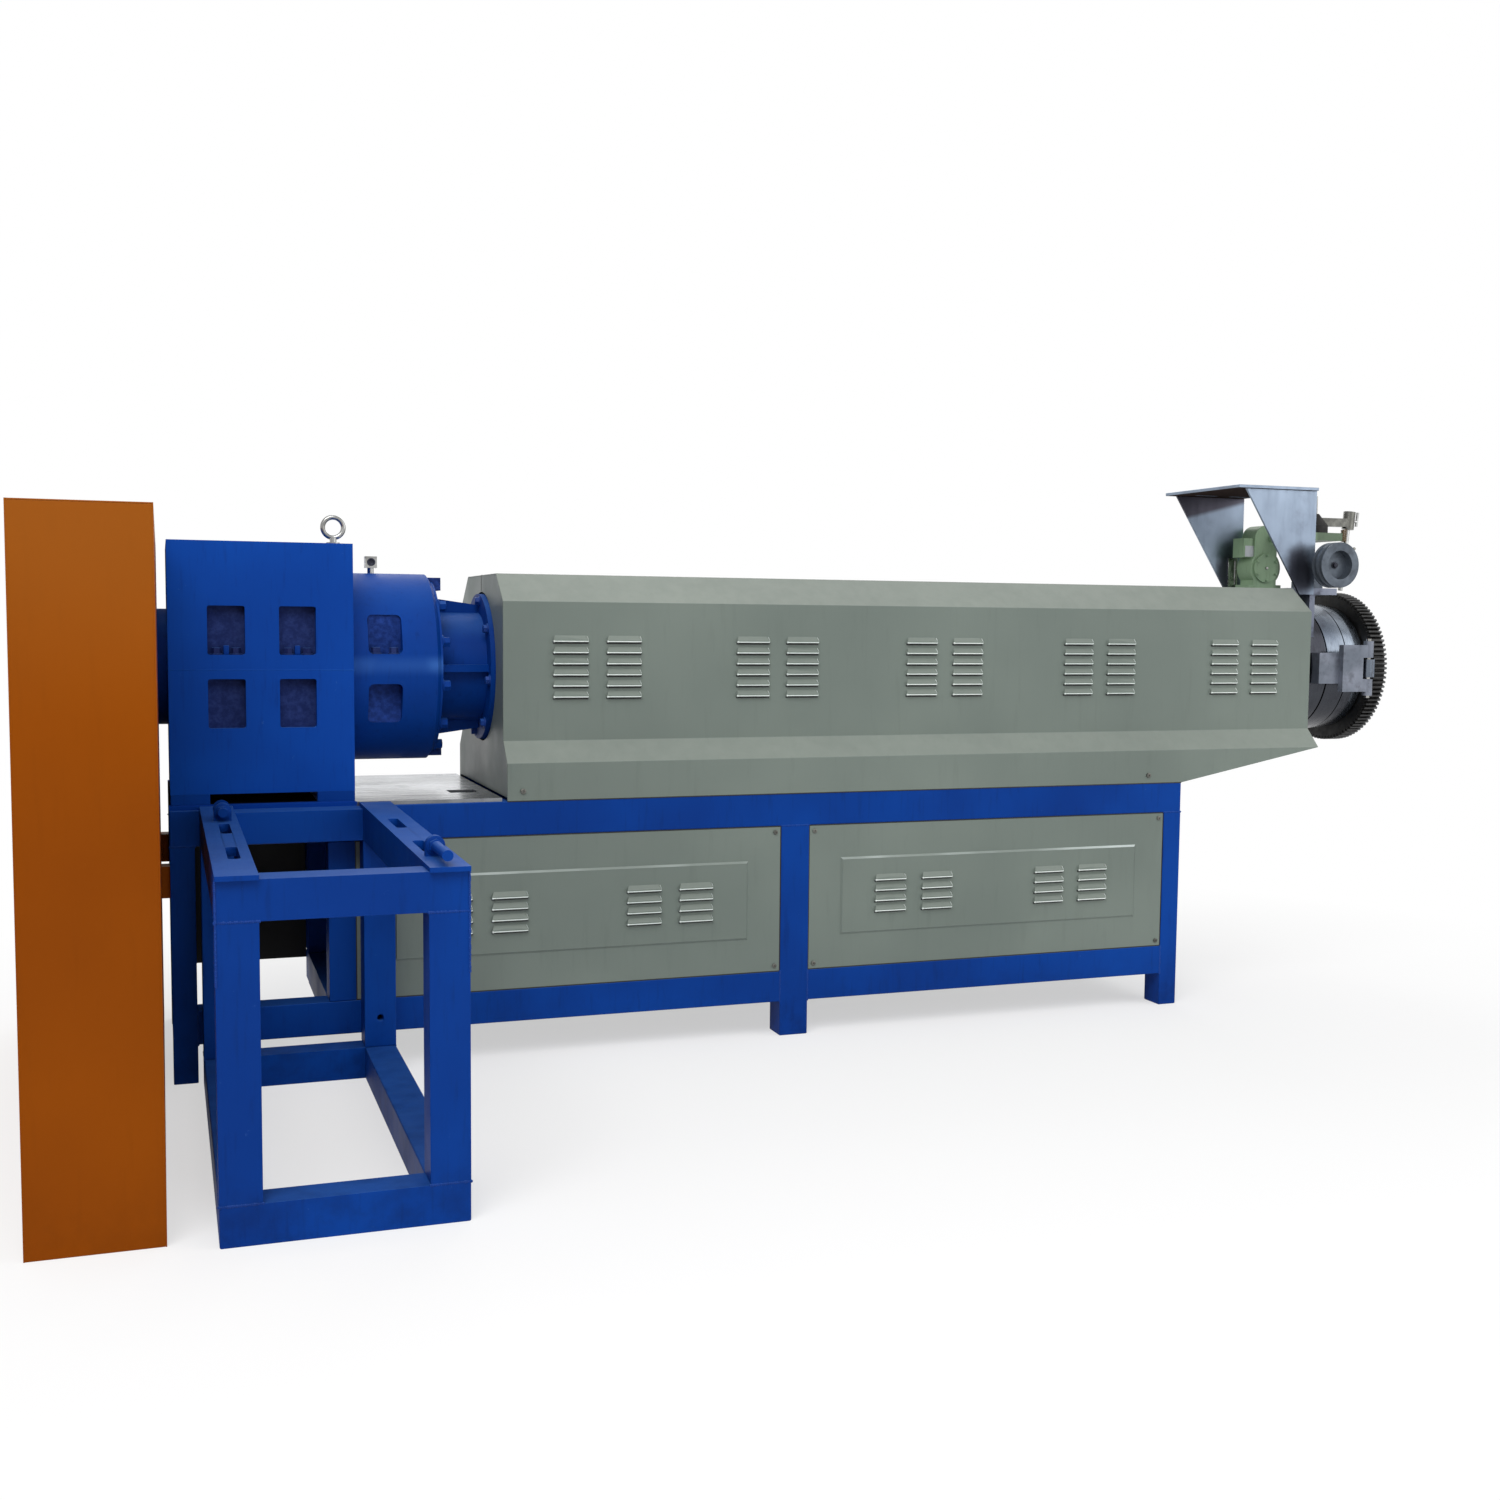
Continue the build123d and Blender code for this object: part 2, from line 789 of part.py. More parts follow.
def hood():
    outer = hood_outline(frame_top - hood_sheet)
    inner = offset(outer, -hood_sheet, kind=Kind.INTERSECTION)
    front_half = block(hood_left, hood_right, -half_width, 0, frame_top, hood_top)
    shell = extrude(across(hood_left) * (outer - inner), hood_length) & front_half
    tail = Polyline(
        (frame_length, frame_top),
        (hood_right, frame_top + hood_tail_rise),
        (hood_right + overrun, frame_top + hood_tail_rise),
        (hood_right + overrun, frame_top - overrun),
        (frame_length, frame_top - overrun),
        close=True,
    )
    shell -= extrude(along(half_width) * make_face(tail), frame_width)
    louvre_bottom = axis_height - hood_louvre_drop
    for group in range(hood_louvre_groups):
        middle = hood_left + hood_length * (first_group_share + group * group_pitch_share)
        shell += louvre_block(middle, -hood_wall, louvre_bottom, hood_louvre_rows)
    save("hood_front", shell)
    save("hood_rear", mirror(shell, about=Plane.XZ))

    above_deck = block(hood_left, hood_right, -half_width, 0, deck_top, hood_top)
    sheet = extrude(across(hood_left) * inner, hood_sheet) & above_deck
    hole = bar_x(
        hood_left - overrun, hood_left + overrun, 0, axis_height, flange_radius + flange_clearance
    )
    end_plate = sheet - hole
    save("hood_end_front", end_plate)
    save("hood_end_rear", mirror(end_plate, about=Plane.XZ))


def die_housing():
    groove_end = die_groove_x + die_groove_width
    step_end = die_step_x + die_groove_width
    groove_radius = die_radius - die_groove_depth
    outline = Polyline(
        (barrel_end, 0),
        (barrel_end, die_neck_radius),
        (die_neck_end, die_neck_radius),
        (die_left, die_radius),
        (die_groove_x, die_radius),
        (die_groove_x, groove_radius),
        (groove_end, groove_radius),
        (groove_end, die_radius),
        (die_step_x, die_radius),
        (die_step_x, groove_radius),
        (step_end, groove_radius),
        (step_end, die_radius - die_step),
        (die_right, die_radius - die_step),
        (die_right, 0),
        close=True,
    )
    save("die_housing", Pos(0, 0, axis_height) * revolve(Plane.XZ * make_face(outline), Axis.X))


def hinge():
    outside = hinge_y - bracket_plate_thickness / 2
    inside = hinge_y + bracket_plate_thickness / 2
    bar = block(bracket_left, bracket_right, inside, 0, bracket_bar_bottom, bracket_bar_top)
    bar -= bar_x(bracket_left - overrun, bracket_right + overrun, 0, axis_height, die_radius)
    bar &= block(bracket_left, bracket_right, inside, -die_neck_radius, bracket_bar_bottom, bracket_bar_top)
    plate = block(
        bracket_plate_left, bracket_right, outside, inside, bracket_plate_bottom, bracket_plate_top
    )
    bracket = bar + plate
    spans = ((hinge_bottom, door_knuckle_bottom - knuckle_gap), (door_knuckle_top + knuckle_gap, hinge_top))
    for low, high in spans:
        tab_low = max(low, bracket_plate_bottom)
        tab_high = min(high, bracket_plate_top)
        bracket += block(bracket_right, hinge_x, outside, inside, tab_low, tab_high)
        bracket += bar_z(hinge_x, hinge_y, low, high, knuckle_radius)
    pin_low = hinge_bottom - pin_overhang
    pin_high = hinge_top + pin_overhang
    pin = bar_z(hinge_x, hinge_y, pin_low, pin_high, pin_radius)
    save("hinge_bracket", bracket - pin)
    save("hinge_pin", pin)


def die_door():
    door = bar_x(door_left, door_right, 0, axis_height, door_radius)
    door += bar_x(door_right, die_plate_left, 0, axis_height, ring_bore - pin_clearance)
    lug = block(door_left, door_right, hinge_y, 0, door_knuckle_bottom, door_knuckle_top)
    knuckle = bar_z(hinge_x, hinge_y, door_knuckle_bottom, door_knuckle_top, knuckle_radius)
    bore_low = door_knuckle_bottom - overrun
    bore_high = door_knuckle_top + overrun
    bore = bar_z(hinge_x, hinge_y, bore_low, bore_high, pin_radius + pin_clearance)
    save("die_door", door + lug + knuckle - bore)

    plate = bar_x(die_plate_left, die_plate_right, 0, axis_height, die_plate_radius)
    for turn in range(strand_hole_count):
        angle = 2 * math.pi * turn / strand_hole_count
        hole_y = strand_circle_radius * math.cos(angle)
        hole_z = axis_height + strand_circle_radius * math.sin(angle)
        plate -= bar_x(die_plate_left, die_plate_right + overrun, hole_y, hole_z, strand_hole_radius)
    save("die_plate", plate)


def lock_ring():
    """The ring gear: straight-flanked teeth round a plain bore that turns on the door's hub."""
    root = ring_tip - tooth_depth_share * tooth_module
    pitch = 2 * math.pi / tooth_count
    points = []
    for tooth in range(tooth_count):
        middle = tooth * pitch
        corners = (
            (root, -tooth_root_share / 2),
            (ring_tip, -tooth_tip_share / 2),
            (ring_tip, tooth_tip_share / 2),
            (root, tooth_root_share / 2),
        )
        for radius, share in corners:
            angle = middle + share * pitch
            points.append((radius * math.cos(angle), radius * math.sin(angle) + axis_height))
    ring = extrude(across(ring_left) * make_face(Polyline(*points, close=True)), ring_thickness)
    save("lock_ring", ring - bar_x(ring_left - overrun, ring_right + overrun, 0, axis_height, ring_bore))


def drive_bracket():
    outer = drive_half_width + drive_plate_thickness
    outline = Polyline(
        (drive_right, drive_bottom),
        (drive_right, drive_top),
        (drive_right - drive_top_length, drive_top),
        (drive_right - drive_foot_length, drive_bottom),
        close=True,
    )
    cheek = extrude(along(-drive_half_width) * make_face(outline), drive_plate_thickness)
    save("drive_side_plates", *both_sides(cheek))

    lid_left = drive_right - drive_top_length - drive_lid_left_overhang
    lid_right = drive_right
    lid_half = outer + drive_lid_overhang
    lid = block(lid_left, lid_right, -lid_half, lid_half, drive_top, drive_top + drive_lid_thickness)
    right_slot = lid_right - drive_slot_edge
    for slot_x in (right_slot - drive_slot_spacing_x, right_slot):
        for step in (-1, 1):
            slot_y = step * drive_slot_spacing_y / 2
            slot = SlotOverall(drive_slot_length, drive_slot_width)
            slot = Pos(slot_x, slot_y, drive_top - overrun) * slot
            lid -= extrude(slot, drive_lid_thickness + 2 * overrun)
    save("drive_top_plate", lid)

    base = block(base_left, base_right, -drive_half_width, drive_half_width, drive_bottom, base_top)
    save("drive_base_plate", base)
    post = block(
        post_left,
        post_left + post_length,
        -drive_half_width,
        post_width - drive_half_width,
        axis_height,
        drive_bottom,
    )
    post -= bar_x(post_left - overrun, post_left + post_length + overrun, 0, axis_height, die_radius)
    save("drive_posts", *both_sides(post))


def drive_pulley():
    groove_top = pulley_groove_width / 2
    groove_floor = groove_top - groove_slope_share * pulley_groove_depth
    floor_radius = pulley_radius - pulley_groove_depth
    recess_floor = pulley_front + pulley_recess_depth
    points = [(0, recess_floor), (pulley_recess_radius, recess_floor)]
    points += [(pulley_recess_radius, pulley_front), (pulley_radius, pulley_front)]
    for groove in range(pulley_groove_count):
        middle = pulley_front + pulley_width * (2 * groove + 1) / (2 * pulley_groove_count)
        points += [
            (pulley_radius, middle - groove_top),
            (floor_radius, middle - groove_floor),
            (floor_radius, middle + groove_floor),
            (pulley_radius, middle + groove_top),
        ]
    points += [(pulley_radius, pulley_rear), (0, pulley_rear)]
    face = make_face(Polyline(*points, close=True))
    pulley = Pos(shaft_x, 0, shaft_z) * revolve(face, Axis.Y)
    save("drive_pulley", pulley)
    bearing_rear = bearing_front + bearing_thickness
    save("pulley_shaft", bar_y(shaft_x, pulley_rear, bearing_rear + shaft_tail, shaft_z, shaft_radius))
    half = bearing_foot_length / 2
    foot = block(
        shaft_x - half, shaft_x + half, bearing_front, bearing_rear, base_top, base_top + bearing_foot_height
    )
    neck_left = shaft_x - bearing_radius
    neck_right = shaft_x + bearing_radius
    neck = block(neck_left, neck_right, bearing_front, bearing_rear, base_top, shaft_z)
    ring = bar_y(shaft_x, bearing_front, bearing_rear, shaft_z, bearing_radius)
    bore = bar_y(
        shaft_x, bearing_front - overrun, bearing_rear + overrun, shaft_z, shaft_radius + pin_clearance
    )
    save("pulley_bearing", foot + neck + ring - bore)


def reducer():
    half = reducer_foot_length / 2
    foot = block(
        shaft_x - half, shaft_x + half, reducer_front, reducer_rear, base_top, base_top + reducer_foot_height
    )
    web = block(
        shaft_x - upper_drum_radius,
        shaft_x + upper_drum_radius,
        reducer_front,
        reducer_rear,
        base_top,
        upper_drum_z,
    )
    body = foot + web
    body += bar_y(shaft_x, reducer_front, reducer_rear, shaft_z, lower_drum_radius)
    body += bar_y(shaft_x, reducer_front, reducer_rear, upper_drum_z, upper_drum_radius)
    body += bar_y(shaft_x, reducer_front - cover_thickness, reducer_front, shaft_z, cover_radius)
    middle = (reducer_front + reducer_rear) / 2
    terminal_bottom = shaft_z + terminal_rise
    terminal = block(
        shaft_x - lower_drum_radius - terminal_reach,
        shaft_x,
        middle - terminal_width / 2,
        middle + terminal_width / 2,
        terminal_bottom,
        terminal_bottom + terminal_height,
    )
    ledge = block(
        shaft_x + ledge_start,
        shaft_x + ledge_reach,
        rod_y - swivel_radius - ledge_edge,
        reducer_front,
        ledge_bottom,
        ledge_top,
    )
    save("reducer", body + terminal + ledge)


def ring_lock():
    """The rod that locks the ring: it leans in the boss of an arm on a cone-shaped swivel."""
    swivel_top = ledge_top + swivel_height
    outline = Polyline(
        (0, ledge_top),
        (swivel_radius, ledge_top),
        (swivel_radius, swivel_top - swivel_cone_height),
        (swivel_tip_radius, swivel_top),
        (0, swivel_top),
        close=True,
    )
    swivel = Pos(swivel_x, rod_y, 0) * revolve(Plane.XZ * make_face(outline), Axis.Z)
    save("arm_swivel", swivel)
    half = arm_thickness / 2
    arm_bottom = ledge_top + arm_rise
    arm = block(swivel_x, rod_x, rod_y - half, rod_y + half, arm_bottom, arm_bottom + arm_height)
    boss_middle = (boss_bottom + boss_top) / 2
    lean = Pos(rod_x, rod_y, boss_middle) * Rot(0, rod_lean, 0)
    boss = lean * bar_z(0, 0, boss_bottom - boss_middle, boss_top - boss_middle, boss_radius)
    rod = lean * bar_z(0, 0, rod_bottom - boss_middle, boss_top - boss_middle, rod_radius)
    save("lock_arm", arm + boss - swivel - rod)
    save("lock_rod", rod)
    grip_bottom = -handle_low_share * handle_length
    stub = bar_x(0, handle_offset, 0, 0, handle_stub_radius)
    grip = bar_z(handle_offset, 0, grip_bottom, grip_bottom + handle_length, handle_stub_radius)
    save("lock_handle", lean * (stub + grip) - boss)


os.makedirs("parts", exist_ok=True)
base_frame()
deck_plate()
bay_panels()
motor_stand()
belt_guard()
gearbox_case()
gearbox_nose()
gearbox_fittings()
barrel()
hood()
die_housing()
hinge()
die_door()
lock_ring()
drive_bracket()
drive_pulley()
reducer()
ring_lock()
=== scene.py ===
import math
import random

import bmesh
import bpy
from mathutils import Matrix, Vector


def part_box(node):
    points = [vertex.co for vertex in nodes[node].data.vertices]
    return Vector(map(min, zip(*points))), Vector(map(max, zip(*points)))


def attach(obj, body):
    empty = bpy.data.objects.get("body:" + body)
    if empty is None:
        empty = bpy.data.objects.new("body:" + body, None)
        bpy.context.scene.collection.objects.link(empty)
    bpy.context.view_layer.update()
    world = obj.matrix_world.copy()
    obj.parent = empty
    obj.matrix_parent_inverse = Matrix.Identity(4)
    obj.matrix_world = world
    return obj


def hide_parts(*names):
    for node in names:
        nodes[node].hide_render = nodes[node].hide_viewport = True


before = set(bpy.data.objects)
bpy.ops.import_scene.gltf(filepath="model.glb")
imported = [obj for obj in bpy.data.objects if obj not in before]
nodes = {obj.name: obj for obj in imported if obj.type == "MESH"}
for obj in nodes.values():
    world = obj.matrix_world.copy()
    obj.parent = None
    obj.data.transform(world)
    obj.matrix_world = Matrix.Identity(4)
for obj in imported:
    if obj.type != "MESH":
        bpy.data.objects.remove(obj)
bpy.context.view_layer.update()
print("frame loaded:", len(nodes), "nodes")

# shared places, read from the frame
flangeLow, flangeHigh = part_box("barrel_flange")
caseLow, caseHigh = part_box("gearbox_upper_case")
railLow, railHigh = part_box("base_top_rails")
hoodLow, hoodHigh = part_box("hood_front")
cheekLow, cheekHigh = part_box("drive_side_plates")
panelBoxes = [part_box(name) for name in ("front_panel_left", "front_panel_right")]
panelDepth = 0.002  # the panels' sheet behind the rails' front
panelFace = railLow.y + panelDepth
axisY = (flangeLow.y + flangeHigh.y) / 2
axisZ = (flangeLow.z + flangeHigh.z) / 2
alongX = Vector((1, 0, 0))
frontward = Vector((0, -1, 0))
upwards = Vector((0, 0, 1))

# the camera, solved from the straight edges of the machine
cameraSetup = {
    "place": (-1.8205, -4.1746, 1.190),
    "pan": 19.832,  # degrees from +Y towards +X
    "tilt": 4.475,  # degrees down
    "roll": 0.54,
    "lens": 39.264,
    "sensor": 36.0,
    "reach": 200,
}


def makeCamera():
    pan, tilt, roll = (math.radians(cameraSetup[key]) for key in ("pan", "tilt", "roll"))
    ahead = Vector((math.sin(pan) * math.cos(tilt), math.cos(pan) * math.cos(tilt), -math.sin(tilt)))
    level = Vector((math.cos(pan), -math.sin(pan), 0))
    above = level.cross(ahead)
    right = level * math.cos(roll) + above * math.sin(roll)
    up = above * math.cos(roll) - level * math.sin(roll)
    data = bpy.data.cameras.new("photoCamera")
    data.lens = cameraSetup["lens"]
    data.sensor_width = cameraSetup["sensor"]
    data.clip_end = cameraSetup["reach"]
    camera = bpy.data.objects.new("photoCamera", data)
    turn = Matrix((right, up, -ahead)).transposed()
    camera.matrix_world = Matrix.Translation(cameraSetup["place"]) @ turn.to_4x4()
    bpy.context.scene.collection.objects.link(camera)
    bpy.context.scene.camera = camera


# an input takes a plain value or the output of another node
def fill(tree, socket, value):
    if isinstance(value, bpy.types.NodeSocket):
        tree.links.new(value, socket)
    else:
        socket.default_value = value


def addNode(tree, kind, inputs, **settings):
    node = tree.nodes.new("ShaderNode" + kind)
    for key, value in settings.items():
        setattr(node, key, value)
    for key, value in inputs.items():
        fill(tree, node.inputs[key], value)
    return node


# the studio: white all round for camera and mirror rays, soft light from the front left
studio = {
    "skyLight": 0.62,
    "lampSize": 5.0,
    "lamps": {  # place and power
        "keyLamp": ((-3.0, -4.4, 6.2), 330),
        "fillLamp": ((4.5, -3.5, 3.4), 90),
        "backLamp": ((1.0, 5.0, 4.2), 130),
    },
    "aim": (0.0, 0.2, 0.8),
    "white": (1, 1, 1, 1),
    "floorSize": 90.0,
    "floorColor": (0.86, 0.86, 0.86, 1),
    "floorRough": 0.9,
    "floorSheen": 0.1,
    "shadowReach": 3.4,  # metres from the origin over which the floor fades to white
    "shadowStart": 0.55,  # share of the reach where the fade begins
    "shadowWhite": 0.55,  # share of white inside it
}


def makeLamp(name, place, power):
    data = bpy.data.lights.new(name, "AREA")
    data.shape = "DISK"
    data.size = studio["lampSize"]
    data.energy = power
    lamp = bpy.data.objects.new(name, data)
    lamp.location = place
    lamp.rotation_euler = (Vector(studio["aim"]) - Vector(place)).to_track_quat("-Z", "Y").to_euler()
    bpy.context.scene.collection.objects.link(lamp)


def seenDirectly(tree):
    path = addNode(tree, "LightPath", {}).outputs
    seen = path["Is Camera Ray"]
    for ray in ("Is Glossy Ray", "Is Transmission Ray"):
        seen = addNode(tree, "Math", {0: seen, 1: path[ray]}, operation="MAXIMUM").outputs[0]
    return seen


def makeStudio():
    scene = bpy.context.scene
    scene.view_settings.view_transform = "Standard"
    world = bpy.data.worlds.new("studio")
    scene.world = world
    world.use_nodes = True
    tree = world.node_tree
    sky = tree.nodes["Background"]
    fill(tree, sky.inputs["Color"], studio["white"])
    fill(tree, sky.inputs["Strength"], studio["skyLight"])
    white = addNode(tree, "Background", {"Color": studio["white"], "Strength": 1.0})
    mix = addNode(tree, "MixShader", {0: seenDirectly(tree), 1: sky.outputs[0], 2: white.outputs[0]})
    fill(tree, tree.nodes["World Output"].inputs["Surface"], mix.outputs[0])
    for name, (place, power) in studio["lamps"].items():
        makeLamp(name, place, power)

    bpy.ops.object.select_all(action="DESELECT")
    bpy.ops.mesh.primitive_plane_add(size=studio["floorSize"], location=(0, 0, 0))
    floor = bpy.context.object
    floor.name = "studioFloor"
    floor.data.materials.append(makeFloorMaterial())


def makeFloorMaterial():
    material = bpy.data.materials.new("studioFloor")
    material.use_nodes = True
    tree = material.node_tree
    body = tree.nodes["Principled BSDF"]
    fill(tree, body.inputs["Base Color"], studio["floorColor"])
    fill(tree, body.inputs["Roughness"], studio["floorRough"])
    fill(tree, body.inputs["Specular IOR Level"], studio["floorSheen"])
    white = addNode(tree, "Emission", {"Strength": 1.0})
    place = addNode(tree, "TexCoord", {}).outputs["Object"]
    away = addNode(tree, "VectorMath", {0: place}, operation="LENGTH").outputs["Value"]
    reach = studio["shadowReach"]
    limits = {"From Min": reach * studio["shadowStart"], "From Max": reach, "To Min": studio["shadowWhite"]}
    fade = addNode(tree, "MapRange", {"Value": away, **limits}).outputs[0]
    share = addNode(tree, "Math", {0: fade, 1: seenDirectly(tree)}, operation="MULTIPLY").outputs[0]
    mix = addNode(tree, "MixShader", {0: share, 1: body.outputs[0], 2: white.outputs[0]})
    fill(tree, tree.nodes["Material Output"].inputs["Surface"], mix.outputs[0])
    return material


# sRGB values, turned to the linear values that sockets take
def tone(color):
    def linear(value):
        share = value / 255
        return share / 12.92 if share <= 0.04045 else ((share + 0.055) / 1.055) ** 2.4
    return (*(linear(value) for value in color), 1)


# one coat: a shader with its node tree, and short calls that add a pattern
class Coat:
    def __init__(self, name):
        self.material = bpy.data.materials.new(name)
        self.material.use_nodes = True
        self.tree = self.material.node_tree
        self.shader = self.tree.nodes["Principled BSDF"]
        self.place = self.add("TexCoord", {}, "Object")

    def add(self, kind, inputs, output=0, **settings):
        return addNode(self.tree, kind, inputs, **settings).outputs[output]

    def give(self, key, value):
        fill(self.tree, self.shader.inputs[key], value)

    def noise(self, scale, detail=4.0, rough=0.55, stretch=None):
        place = self.add("Mapping", {"Vector": self.place, "Scale": stretch}) if stretch else self.place
        inputs = {"Vector": place, "Scale": scale, "Detail": detail, "Roughness": rough}
        return self.add("TexNoise", inputs, "Fac")

    def ramp(self, value, low, high, toLow=0.0, toHigh=1.0):
        inputs = {"Value": value, "From Min": low, "From Max": high, "To Min": toLow, "To Max": toHigh}
        return self.add("MapRange", inputs, interpolation_type="SMOOTHSTEP")

    def math(self, operation, first, second):
        return self.add("Math", {0: first, 1: second}, operation=operation, use_clamp=True)

    def both(self, first, second):
        return self.math("MULTIPLY", first, second)

    # inputs 6 and 7 of a mix node are its colors, and output 2 is the mixed one
    def blend(self, first, second, share):
        inputs = {0: share}
        for socket, value in ((6, first), (7, second)):
            inputs[socket] = tone(value) if isinstance(value, tuple) else value
        return self.add("Mix", inputs, 2, data_type="RGBA")

    # lays a color over the base as far as the share goes
    def cover(self, color, share):
        self.base = self.blend(self.base, color, share)
        self.give("Base Color", self.base)

    def axis(self, letter, source=None):
        return self.add("SeparateXYZ", {0: source or self.place}, letter)

    def facing(self, letter):
        return self.axis(letter, self.add("TexCoord", {}, "Normal"))

    def size(self, value):
        return self.add("Math", {0: value}, operation="ABSOLUTE")

    def sum(self, first, second):
        return self.add("Math", {0: first, 1: second}, operation="ADD")

    # how far a point is from a middle, in the axes given by the scale
    def distance(self, scale, middle):
        inputs = {"Vector": self.place, "Scale": scale, "Location": [-value for value in middle]}
        return self.add("VectorMath", {0: self.add("Mapping", inputs)}, "Value", operation="LENGTH")

    # how far a point is from the machine's middle plane
    def depth(self):
        return self.distance((0, 1, 0), (0, axisY, 0))

    # how far along a direction a point lies
    def along(self, direction):
        return self.add("VectorMath", {0: self.place, 1: direction}, "Value", operation="DOT_PRODUCT")

    # a noise that shifts an edge by up to the reach either way
    def wander(self, scale, detail, reach):
        return self.ramp(self.noise(scale, detail), 0.2, 0.8, -reach, reach)

    def mottle(self, first, second, scale):
        return self.blend(first, second, self.ramp(self.noise(scale, 6, 0.7), 0.35, 0.72))

    def bump(self, *layers):
        inputs = {}
        for height, distance, strength in layers:
            inputs.update({"Height": height, "Distance": distance, "Strength": strength})
            inputs["Normal"] = self.add("Bump", inputs)
        self.give("Normal", inputs["Normal"])


def enamelPaint(name, look):
    coat = Coat(name)
    cloud = coat.ramp(coat.noise(look["cloud"], 3), 0.3, 0.7)
    coat.base = coat.blend(look["dark"], look["light"], cloud)
    fleck = coat.noise(look["fleck"], 6, 0.7)
    coat.cover(look["chip"], coat.ramp(fleck, 0.66, 0.74, 0.0, look["fleckShare"]))
    run = coat.noise(6, 5, 0.6, look["run"])
    coat.cover(look["grime"], coat.ramp(run, 0.52, 0.75, 0.0, look["streakShare"]))
    thick = look["dustShare"]
    settled = coat.ramp(coat.noise(22, 6, 0.6), 0.25, 0.75, thick * 0.75, thick)
    coat.cover(look["dust"], coat.both(coat.ramp(coat.facing("Z"), 0.45, 0.85), settled))
    low = coat.ramp(coat.axis("Z"), 0.0, 0.22, look["floorGrime"], 0.0)
    splash = coat.ramp(coat.noise(14, 6, 0.65), 0.35, 0.7)
    coat.cover(look["grime"], coat.both(low, splash))
    coat.give("Roughness", coat.ramp(coat.noise(5, 5), 0.25, 0.75, look["gloss"], look["matt"]))
    peel = coat.noise(look["peel"], 2)
    coat.bump((coat.noise(3.2, 2), 0.01, 0.05), (peel, 0.0006, look["peelDepth"]))
    coat.give("Specular IOR Level", look["sheen"])
    return coat


blueLook = dict(
    dark=(0, 47, 122), light=(1, 60, 144), chip=(84, 128, 180), grime=(2, 24, 72), dust=(74, 122, 186),
    cloud=1.7, fleck=55, fleckShare=0.22, run=(14, 14, 1.4), streakShare=0.24, dustShare=0.25,
    floorGrime=0.4, gloss=0.46, matt=0.62, peel=420, peelDepth=0.25, sheen=0.09,
)
orangeLook = dict(
    dark=(124, 58, 0), light=(138, 67, 0), chip=(175, 108, 40), grime=(100, 46, 0), dust=(190, 130, 70),
    cloud=1.1, fleck=70, fleckShare=0.06, run=(9, 9, 0.9), streakShare=0.1, dustShare=0.15,
    floorGrime=0.2, gloss=0.36, matt=0.5, peel=380, peelDepth=0.14, sheen=0.06,
)
greyLook = dict(
    dark=(104, 114, 108), light=(115, 125, 118), chip=(152, 162, 154), grime=(78, 86, 80),
    dust=(176, 180, 172), cloud=1.3, fleck=80, fleckShare=0.06, run=(7, 7, 0.8), streakShare=0.14,
    dustShare=0.33, floorGrime=0.2, gloss=0.34, matt=0.5, peel=350, peelDepth=0.18, sheen=0.22,
)
greenLook = dict(
    dark=(142, 170, 138), light=(164, 192, 158), chip=(192, 206, 184), grime=(74, 90, 72),
    dust=(135, 152, 125), cloud=6, fleck=120, fleckShare=0.15, run=(30, 30, 4), streakShare=0.3,
    dustShare=0.12, floorGrime=0.0, gloss=0.4, matt=0.6, peel=300, peelDepth=0.35, sheen=0.2,
)
caseLook = dict(blueLook, dark=(2, 59, 146), light=(5, 71, 166))
noseLook = dict(blueLook, dustShare=0.1)
# input cap: a lighter blue as painted light, for the shade it sits in
capLitLook = dict(blueLook, dark=(14, 62, 160), light=(24, 80, 178))
weldLook = dict(blueLook, chip=(54, 104, 172), fleck=240, fleckShare=0.4, sheen=0.2)
boltLook = dict(blueLook, chip=(190, 200, 215), fleck=160, fleckShare=0.6, sheen=0.4)
# louvre lips: a much paler grey as a painted highlight
lipHighlightLook = dict(greyLook, dark=(202, 212, 208), light=(228, 234, 230), streakShare=0.05, sheen=0.4)
pocketBoltLook = dict(
    blueLook, dark=(24, 35, 80), light=(46, 62, 114), chip=(120, 142, 186), fleck=200, fleckShare=0.6,
)
sealantLook = dict(
    blueLook, dark=(8, 66, 156), light=(28, 92, 176), chip=(170, 200, 228), fleck=22, fleckShare=0.8,
)


def bareMetal(name, look):
    coat = Coat(name)
    coat.give("Metallic", look["metal"])
    cloud = coat.ramp(coat.noise(look["cloud"], 4), 0.3, 0.7)
    coat.base = coat.blend(look["dark"], look["light"], cloud)
    grain = coat.noise(look["grain"], 3, 0.6, look["brush"])
    coat.cover(look["deep"], coat.ramp(grain, 0.5, 0.8, 0.0, look["grainShare"]))
    stain = coat.ramp(coat.noise(look["stainSize"], 7, 0.65), 0.52, 0.68, 0.0, look["stainShare"])
    coat.cover(look["stain"], stain)
    rough = coat.ramp(grain, 0.25, 0.75, look["gloss"], look["matt"])
    coat.rough = coat.math("ADD", rough, coat.both(stain, 0.25))
    coat.give("Roughness", coat.rough)
    lump = coat.noise(look["lump"], 3)
    coat.bump((lump, 0.004, look["lumpDepth"]), (grain, 0.0004, look["grainDepth"]))
    return coat


